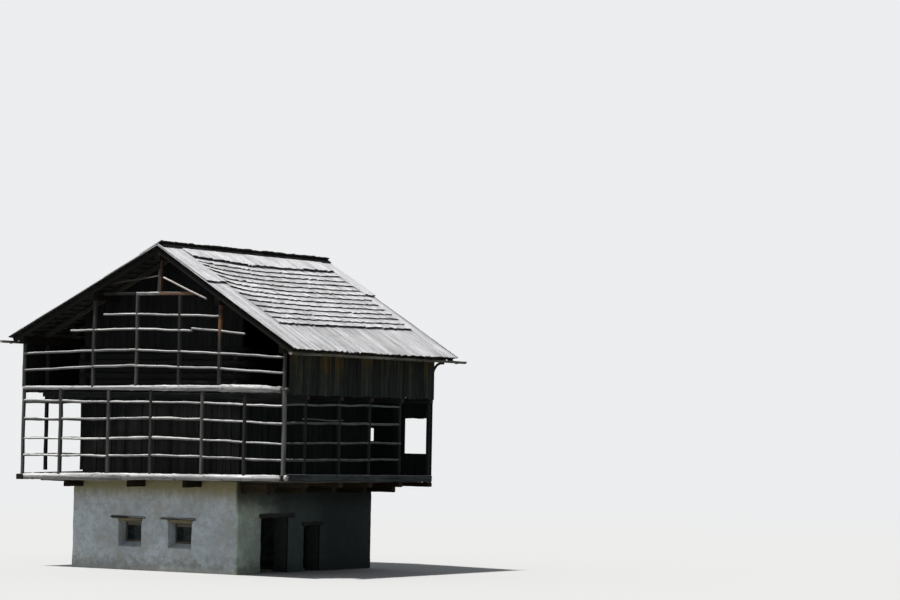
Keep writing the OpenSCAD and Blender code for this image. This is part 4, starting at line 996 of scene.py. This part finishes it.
side_posts = Piece("upper_side_posts", "side_posts", shade_wood, dark_end)
for x in RACK_X.values():
    for y in BAY_Y:
        side_posts.post(x, y, RING_TOP - POST_IN, purlin_bottom(x) + POST_IN)

for side, front, fade, material in (("left", RACK_F + 0.15, 0.0, back_wood),
                                    ("right", RACK_F + 0.07, 0.032, side_wood)):
    x, sign, name = RACK_X[side], SIGN[side], side + "_boarding"
    # Painted shade: the right boarding grows darker toward the back (fade)
    top, tone = under(x + sign * (RING_W / 2 + 0.03)) - 0.006, 1.06 if fade else 1.0
    for part, out, thick, gap, depth, face in (("_lining", 0.006, 0.010, 0.002, 0.0, core_wood),
                                               ("_planks", 0.021, 0.018, 0.007, 0.003, material)):
        boarding = Piece(name + part, name, face, dark_end, "dark_boards")
        boarding.boards((x + sign * (RING_W / 2 + out), front, 0), Y, Z, SIDE_BACK - front, UPPER_Z - 0.035,
                        top, thick, (0.15, 0.27), gap, ragged=(0.02, 0.0), depth=depth, steps=5, spread=0.50,
                        chamfer=0.003, base_tone=lambda s: tone - fade * s)

back_upper = Piece("back_upper_planks", "back_upper_boards", back_wood, dark_end, "dark_boards")
past = LOG_HALF + LOG_OVER
for x0, x1, corner in ((RACK_L - RING_W / 2, CORE_L - past, RACK_L),
                       (CORE_R + past, RACK_R + RING_W / 2, RACK_R)):
    back_upper.boards((x0, BACK_Y, 0), X, Z, x1 - x0, UPPER_Z, lambda s: under(x0 + s) - 0.006, 0.026,
                      (0.15, 0.26), 0.006, [purlin_pocket(corner, x0)], (0.015, 0.0), closed=True)

upper_posts = Piece("front_upper_posts", "front_upper_rack", post_wood, dark_end)
for x in (RACK_L, PURLIN_X[1], RACK_R):
    upper_posts.post(x, RACK_F, LOG_SEAT, purlin_bottom(x) + POST_IN)
for x, tone in ((TIE_L, 1.3), (TIE_R, 0.8)):
    upper_posts.post(x, RACK_F, LOG_SEAT, TIE_TOP - TIE_W + POST_IN, tone=tone)
fresh_post = Piece("front_upper_post_right", "front_upper_rack", warm_post, dark_end)
fresh_post.post(PURLIN_X[3], RACK_F, LOG_SEAT, purlin_bottom(PURLIN_X[3]) + POST_IN)

upper_rails = Piece("front_upper_rack_poles", "front_upper_rack", rail_wood, pale_end)
for points in UPPER_RAILS:
    x, z = (np.interp(np.linspace(0, 1, 22), (0, 0.5, 1), values) for values in zip(*points))
    y = RACK_F - 0.02 + 0.006 * wander(upper_rails.rng, x, 1.5)
    z = z + 0.008 * wander(upper_rails.rng, x, 1.3)
    upper_rails.rod(np.stack((x, y, z), axis=1), log_section(0.034, 9, upper_rails.rng, 0.1), Y)

truss = Piece("gable_truss_timbers", "gable_truss", truss_wood, pale_end)
old_truss = Piece("gable_truss_old", "gable_truss", post_wood, dark_end)
end, z = TIE_R + 0.45, TIE_TOP - TIE_W / 2
for piece, a, b, across, section, look in (
        (old_truss, (end - 3.10, z + 0.004), (TIE_L, z), Y, (TIE_W * 0.9, TIE_W * 0.8, 0.012),
         dict(steps=6, lump=SAWN, tone=0.32)),
        (old_truss, (TIE_L - 0.03, z), (RIDGE_X, z + 0.004), Y, (TIE_W, TIE_W * 0.9, 0.02),
         dict(steps=6, lump=HEWN, tone=2.9)),
        (truss, (RIDGE_X, z), (end, z - 0.006), Y, (TIE_W, TIE_W * 0.9, 0.012),
         dict(steps=8, wave=0.003, lump=SAWN, tone=0.95)),
        (truss, (RIDGE_X - 0.005, TIE_TOP - 0.02), (RIDGE_X + 0.035, purlin_bottom(RIDGE_X)), X,
         (0.055, 0.085, 0.01), dict(steps=6, lump=SAWN, tone=0.5)),
        (old_truss, (RIDGE_X - 0.065, TIE_TOP - 0.02), (RIDGE_X - 0.03, TIE_TOP + 0.62), X,
         (0.055, 0.08, 0.01), dict(steps=6, lump=SAWN, tone=1.3))):
    piece.beam((a[0], RACK_F, a[1]), (b[0], RACK_F, b[1]), across, section, **look)
braces = Piece("gable_braces", "gable_truss", brace_wood, pale_end)
for x0, z0, x1, z1, y, radius, tone in ((0.80, 8.085, 2.28, 7.485, RACK_F - 0.078, 0.025, 1),
                                        (RIDGE_X, 8.14, -1.05, 7.95, RACK_F, 0.02, 0.22)):
    braces.beam((x0, y, z0), (x1, y, z1), Y, log_section(radius, 10, braces.rng, 0.08), steps=12, wave=0.005,
                lump=0.001, smooth=True, tone=tone)

# Roof frame
# The purlins' ends are painted near black: painted shade under the roof
purlins = Piece("purlin_beams", "purlins", beam_wood, painted_shade_end)
for x in PURLIN_X:
    half, low = PURLIN_W / 2, purlin_bottom(x)
    peak = [(0.0, PURLIN_H)] if x == RIDGE_X else []
    corners = np.array([(-half, 0.0), (half, 0.0), (half, under(x + half) - low), *peak,
                        (-half, under(x - half) - low)])
    purlins.beam((x, ROOF_B - 0.04, low), (x, ROOF_F + 0.04, low), X, corners, steps=16, lump=0.0025,
                 ragged=(0.01, 0.01), tone=0.35)

rafters = Piece("rafter_timbers", "rafters", under_wood, dark_end)
end_rafters = Piece("front_rafter_pair", "rafters", under_wood, dark_end)
battens = Piece("batten_strips", "battens", under_wood, butt_end)
for side, length in SLOPE.items():
    slant = math.tan(PITCH[side])
    z = -RAFTER_TOP - RAFTER_H / 2
    for i, y in enumerate(RAFTER_Y + RAFTER_W / 2):
        # Painted shade: the front pair of rafters is painted darker (tone 0.28)
        piece, tone = (rafters, None) if i else (end_rafters, 0.28)
        piece.beam(slope_point(side, -z * slant, y, z), slope_point(side, length - 0.13, y, z), Y,
                   (RAFTER_W - 0.004, RAFTER_H - 0.004, 0.012), steps=10, lump=SAWN,
                   mitre=-SIGN[side] * slant, ragged=(0, 0.012), tone=tone)
    for x in np.arange(0.18, length - 0.05, COURSE):
        battens.beam(slope_point(side, x, ROOF_F + 0.05, -0.08), slope_point(side, x, ROOF_B - 0.03, -0.08),
                     slope_axis(side), (0.06, 0.038, 0.004), steps=12, lump=0.001)


# Roof covering


def crept(line, y):
    """How far down the slope the courses have crept at y; line 0 is the foot of the ridge boards."""
    share = min(max((y - SHINGLE_F) / FIELD, 0.0), 1.0)
    ease = min(share / 0.45, 1.0)
    return 0.27 * (1 - line / COURSE_N) * ease * ease * (3 - 2 * ease) - 0.157 * share ** 1.5


def shingle(piece, side, i, middle, width, wear_and_light):
    """One split shingle of course i: it thickens to its butt, and curls up the slope at the front verge."""
    rng = piece.rng
    near = max(0.0, 1 - (middle - SHINGLE_F) / CURL_REACH)
    stray = float(np.clip(rng.normal(0, 0.016), -0.034, 0.030)) * (1 - 0.75 * near)
    butt = RIDGE_BOARD + (i + 1) * COURSE - CURL[i] * near ** 2 + crept(i + 1, middle) + stray
    turn = -2 * CURL[i] * near + rng.normal(0, 0.012)
    head = butt - COURSE * SHINGLE_LAP
    lift = rng.uniform(-0.003, 0.004)
    thick = rng.uniform(0.028, 0.038) + (0.020 if i == COURSE_N - 1 else 0)
    half = (width - 0.003) / 2
    rings = []
    for share in STATIONS:
        x = head + share * (butt - head)
        top = -0.030 + 0.049 * share + lift * share + (rng.uniform(-0.001, 0.004) if share > 0.5 else 0)
        base = top - 0.006 - (thick - 0.006) * share
        cup = rng.uniform(-0.0015, 0.002)
        cross = np.array(((-half, base), (half, base), (half, top + cup * rng.uniform(0, 1)),
                          (0.3 * half, top + cup), (-half, top)))
        ragged = rng.uniform(-0.010, 0.010, 5) if share == 1.0 else np.zeros(5)
        ragged[0], ragged[1] = ragged[4], ragged[2]
        rings.append([slope_point(side, x - (q * turn) + r, middle + q, h)
                      for (q, h), r in zip(cross, ragged)])
    order = -SIGN[side]  # keeps the faces outward on both slopes
    piece.solid(np.array(rings)[:, ::order], cross[::order], STATIONS * (butt - head), False,
                wear_and_light * (1 + rng.uniform(-0.20, 0.13)) * STATION_TONE)


for side, length in SLOPE.items():
    # Each slope's tone: lower on the left, which the sun lights more, and higher on the right: painted light
    # and shade
    down, node, wear_and_light = slope_axis(side), "shingles_" + side, 1.04 if side == "right" else 0.87
    bed = Piece(node + "_bed", node, under_wood, slot="roof_wood")
    bed.boards(slope_point(side, 0, SHINGLE_F, BED_Z), Y, down, FIELD, 0.06, SHINGLE_END - 0.36, 0.016,
               (0.16, 0.26), 0.0, depth=0.0, wave=0.0)

    shingles = Piece(node + "_split", node, shingle_wood, butt_end, "roof_wood")
    for i in range(COURSE_N):
        y = SHINGLE_F + SHINGLE_GAP
        while y < SHINGLE_B - 0.03:
            width = min(shingles.rng.uniform(*SHINGLE_W), SHINGLE_B - y)
            shingle(shingles, side, i, y + width / 2, width, wear_and_light)
            y += width + SHINGLE_GAP

    eaves = Piece(node + "_eave_boards", node, roof_wood, butt_end, "roof_wood")
    eaves.skin(slope_point(side, 0, SHINGLE_F, SKIN_Z), Y, down, FIELD, SHINGLE_END - 0.37, length - 0.06,
               0.0045)
    eaves.boards(slope_point(side, 0, SHINGLE_F, EAVE_Z), Y, down, FIELD, SHINGLE_END - 0.34, length - 0.03,
                 0.024, (0.09, 0.19), 0.008, ragged=(0, 0.032), steps=5, spread=0.18, base_tone=0.92 * wear_and_light)

strips = Piece("ridge_tarred_strips", "ridge_boards", painted_shade_black_wood, slot="roof_wood")  # near-black strips under the overhang: painted shadow of the left ridge boards on the right slope
verges = Piece("verge_planks", "verge_boards", roof_wood, butt_end, "roof_wood")
verge_bed = Piece("verge_bed", "verge_boards", under_wood, butt_end, "roof_wood")
seams = Piece("verge_tarred_seams", "verge_boards", painted_shade_black_wood, slot="roof_wood")
ridge = Piece("ridge_planks", "ridge_boards", roof_wood, butt_end, "roof_wood")
for side, length in SLOPE.items():
    # The upper layer of the verges: thickness, height of its end, tone, which is lower on the left as painted
    # shade
    thick, rise, wear_and_light = (0.034, 0.034, 1.0) if side == "right" else (0.014, -0.010, 0.95)
    for y0, y1, outer, step in ((ROOF_F, SHINGLE_F, ROOF_F, VERGE_EDGE),
                                (SHINGLE_B, ROOF_B, ROOF_B, -VERGE_EDGE)):
        for y, width in verge_bed.side_by_side(y0 + 0.012, y1 - 0.004, 0.21):
            verge_bed.roof_board(side, y, width + 0.005, 0.04, length - 0.05, EAVE_Z, EAVE_Z, 0.012, 4, 0.01)
        inner = outer + step
        edge = (inner - outer) * VERGE_STRIP, (inner - outer) * VERGE_SEAM
        # A narrow strip closes the outer edge, and a near-black seam, painted shade of the step there, parts it
        # from the boards
        verges.roof_board(side, outer + edge[0], 0.062, 0.03, length - 0.03, -0.022, -0.010, tone=1.15,
                          **VERGE_BOARD)
        seams.roof_board(side, outer + edge[1], 0.056, VERGE_LAP - 0.1, length - 0.06, -0.024, -0.020, 0.020, 9)
        for y, width in verges.side_by_side(*((inner, y1) if step > 0 else (y0, inner)), 0.18):
            verges.roof_board(side, y, width, 0.03, length - 0.03, -0.022, -0.022, **VERGE_BOARD)
        for y, width in verges.side_by_side(y0, y1, 0.20):
            reach = VERGE_LAP + verges.rng.uniform(-0.04, 0.02)
            end = rise + verges.rng.uniform(-0.003, 0.004)
            verges.roof_board(side, y, width, 0.012, reach, thick - 0.022, end, thick, 5, 0.02,
                              1.06 * wear_and_light + verges.rng.uniform(-0.12, 0.12))

verge_bed.roof_board("left", (ROOF_F + ROOF_B) / 2, ROOF_B - ROOF_F - 0.02, -RIDGE_OVER + 0.06, 0.30, 0.0015,
                     0.0015, 0.009, 3, 0.0, 0.4)
for y, width in ridge.side_by_side(ROOF_F, ROOF_B, 0.19):
    ridge.roof_board("left", y, width, -RIDGE_OVER + 0.036, RIDGE_BOARD, 0.024, 0.014, 0.026, 3, 0.022)
for k, (y, width) in enumerate(ridge.side_by_side(SHINGLE_F, SHINGLE_B, 0.20)):
    foot = RIDGE_BOARD + crept(0, y) + ridge.rng.uniform(-0.03, 0.02)
    end = 0.048 + (0.020 if k == 0 else ridge.rng.uniform(0, 0.012))
    ridge.roof_board("right", y, width, 0.035, foot, 0.026, end, 0.034, 3, 0.030,
                     1.20 + ridge.rng.uniform(-0.12, 0.05))
# Painted shadow: near-black strips on the right slope under the overhang of the left ridge boards
for y, width in strips.side_by_side(ROOF_F + 0.03, ROOF_B - 0.03, 2.2):
    a, b = (slope_point("right", 0.125, y + sign * width / 2, 0.041) for sign in SIGN.values())
    strips.beam(a, b, slope_axis("right"), (0.15, 0.022, 0.004), steps=20, lump=ROUGH)

# Gutters on their crooks
gutters = Piece("gutter_poles", "gutters", gutter_wood, pale_end)
crooks = Piece("gutter_crook_arms", "gutter_crooks", under_wood, dark_end)
for side, length in SLOPE.items():
    pitch = PITCH[side]
    axis = slope_point(side, length + GUTTER_DROP * math.sin(pitch), 0, -GUTTER_DROP * math.cos(pitch))
    gutters.beam(axis + Y * GUTTER_Y[1], axis + Y * (GUTTER_Y[0] + 0.05), X,
                 trough_section(GUTTER_R - 0.001, GUTTER_T), steps=40, wave=0.004, reach=3.2, swell=0.02,
                 lump=0.0006, tone=1)
    turns = np.radians(np.linspace(*CROOK_TURN, 7))
    for k in (0, 2, 4, 6, 8):
        y = RAFTER_Y[k] + (RAFTER_W + 0.0225 if k < 8 else -0.0225)
        arm = [slope_point(side, length - s, y, -0.147) for s in CROOK_ARM]
        cradle = [axis + Y * y + CROOK_R * np.array((SIGN[side] * math.cos(t), 0, math.sin(t)))
                  for t in turns]
        crooks.rod(arm + cradle, box_section(0.043, 0.016, 0.004), Y, smooth=False)

brace = Piece("back_brace_timber", "back_brace", shade_wood, dark_end)
low, high = (np.array(v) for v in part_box("back_brace"))
x, y, z = (low[0] + high[0]) / 2, low[1] + BRACE_HALF, high[2] - BRACE_HALF
bow = high[1] - low[1] - BRACE_SEAT - BRACE_HALF  # radius of its bend
bend = [(x, y + bow * (1 - math.cos(t)), z - bow * (1 - math.sin(t)))
        for t in np.linspace(0, math.pi / 2, 10)]
brace.rod([(x, y, low[2])] + bend + [(x, high[1], z)], box_section(0.058, 0.066, 0.012), X, smooth=False)

for piece in Piece.started:
    piece.make()

# Floor, light and camera
floor_mesh = bpy.data.meshes.new("floor")
turns = np.linspace(0, 2 * math.pi, FLOOR_SIDES + 1)[:-1]
floor_mesh.from_pydata([(FLOOR_R * math.cos(t), FLOOR_R * math.sin(t), 0) for t in turns], [],
                       [tuple(range(FLOOR_SIDES))])
floor = bpy.data.objects.new("floor", floor_mesh)
bpy.context.scene.collection.objects.link(floor)
s = Surface("pale_floor")
distance = s.node("VectorMath", {0: s.place}, operation="LENGTH").outputs["Value"]
seen = s.node("LightPath").outputs["Is Camera Ray"]
s.set({"Base Color": s.mix(seen, FLOOR_LIT, FLOOR_SEEN), "Roughness": 1.0, "Specular IOR Level": 0.0})
glow = s.node("Emission", {"Color": (*BACKDROP, 1), "Strength": 1.0})
share = s.mul(s.ramp(distance, *FADE), seen)
fade = s.node("MixShader", {0: share, 1: s.shader.outputs[0], 2: glow.outputs[0]})
s.give(s.tree.nodes["Material Output"].inputs["Surface"], fade.outputs[0])
floor_mesh.materials.append(s.material)

world = bpy.data.worlds.new("studio")
bpy.context.scene.world = world
world.use_nodes = True
s = Nodes(world.node_tree)
rays = s.node("LightPath").outputs
pale_rays = s.math("MAXIMUM", rays["Is Camera Ray"],
                   s.math("MAXIMUM", rays["Is Glossy Ray"], rays["Is Transmission Ray"]))
sideways = s.parts(s.node("TexCoord").outputs["Generated"])["X"]
soft = s.mix(s.ramp(sideways, -0.9, 0.9), SKY_LEFT, SKY_RIGHT)
s.give(s.tree.nodes["Background"].inputs["Color"], s.mix(pale_rays, soft, BACKDROP))

lamp = bpy.data.lights.new("sun", "SUN")
lamp.energy, lamp.angle, lamp.color = SUN_POWER, math.radians(SUN_WIDTH), SUN_COLOUR
sun = bpy.data.objects.new("sun", lamp)
sun.rotation_mode = "QUATERNION"
sun.rotation_quaternion = Vector(SUN_FROM).to_track_quat("Z", "Y")
bpy.context.scene.collection.objects.link(sun)

look = Vector((-math.sin(YAW) * math.cos(LIFT), math.cos(YAW) * math.cos(LIFT), math.sin(LIFT)))
level = Vector((math.cos(YAW), math.sin(YAW), 0))
upright = level.cross(look)
side_axis = math.cos(ROLL) * level + math.sin(ROLL) * upright
up_axis = math.cos(ROLL) * upright - math.sin(ROLL) * level
lens = bpy.data.cameras.new("camera")
lens.lens, lens.sensor_width, lens.clip_end = LENS_MM, SENSOR_MM, 1000
camera = bpy.data.objects.new("camera", lens)
turned = Matrix((side_axis, up_axis, -look)).transposed().to_4x4()
camera.matrix_world = Matrix.Translation(CAMERA_AT) @ turned
bpy.context.scene.collection.objects.link(camera)
bpy.context.scene.camera = camera
bpy.context.scene.view_settings.view_transform = "Standard"
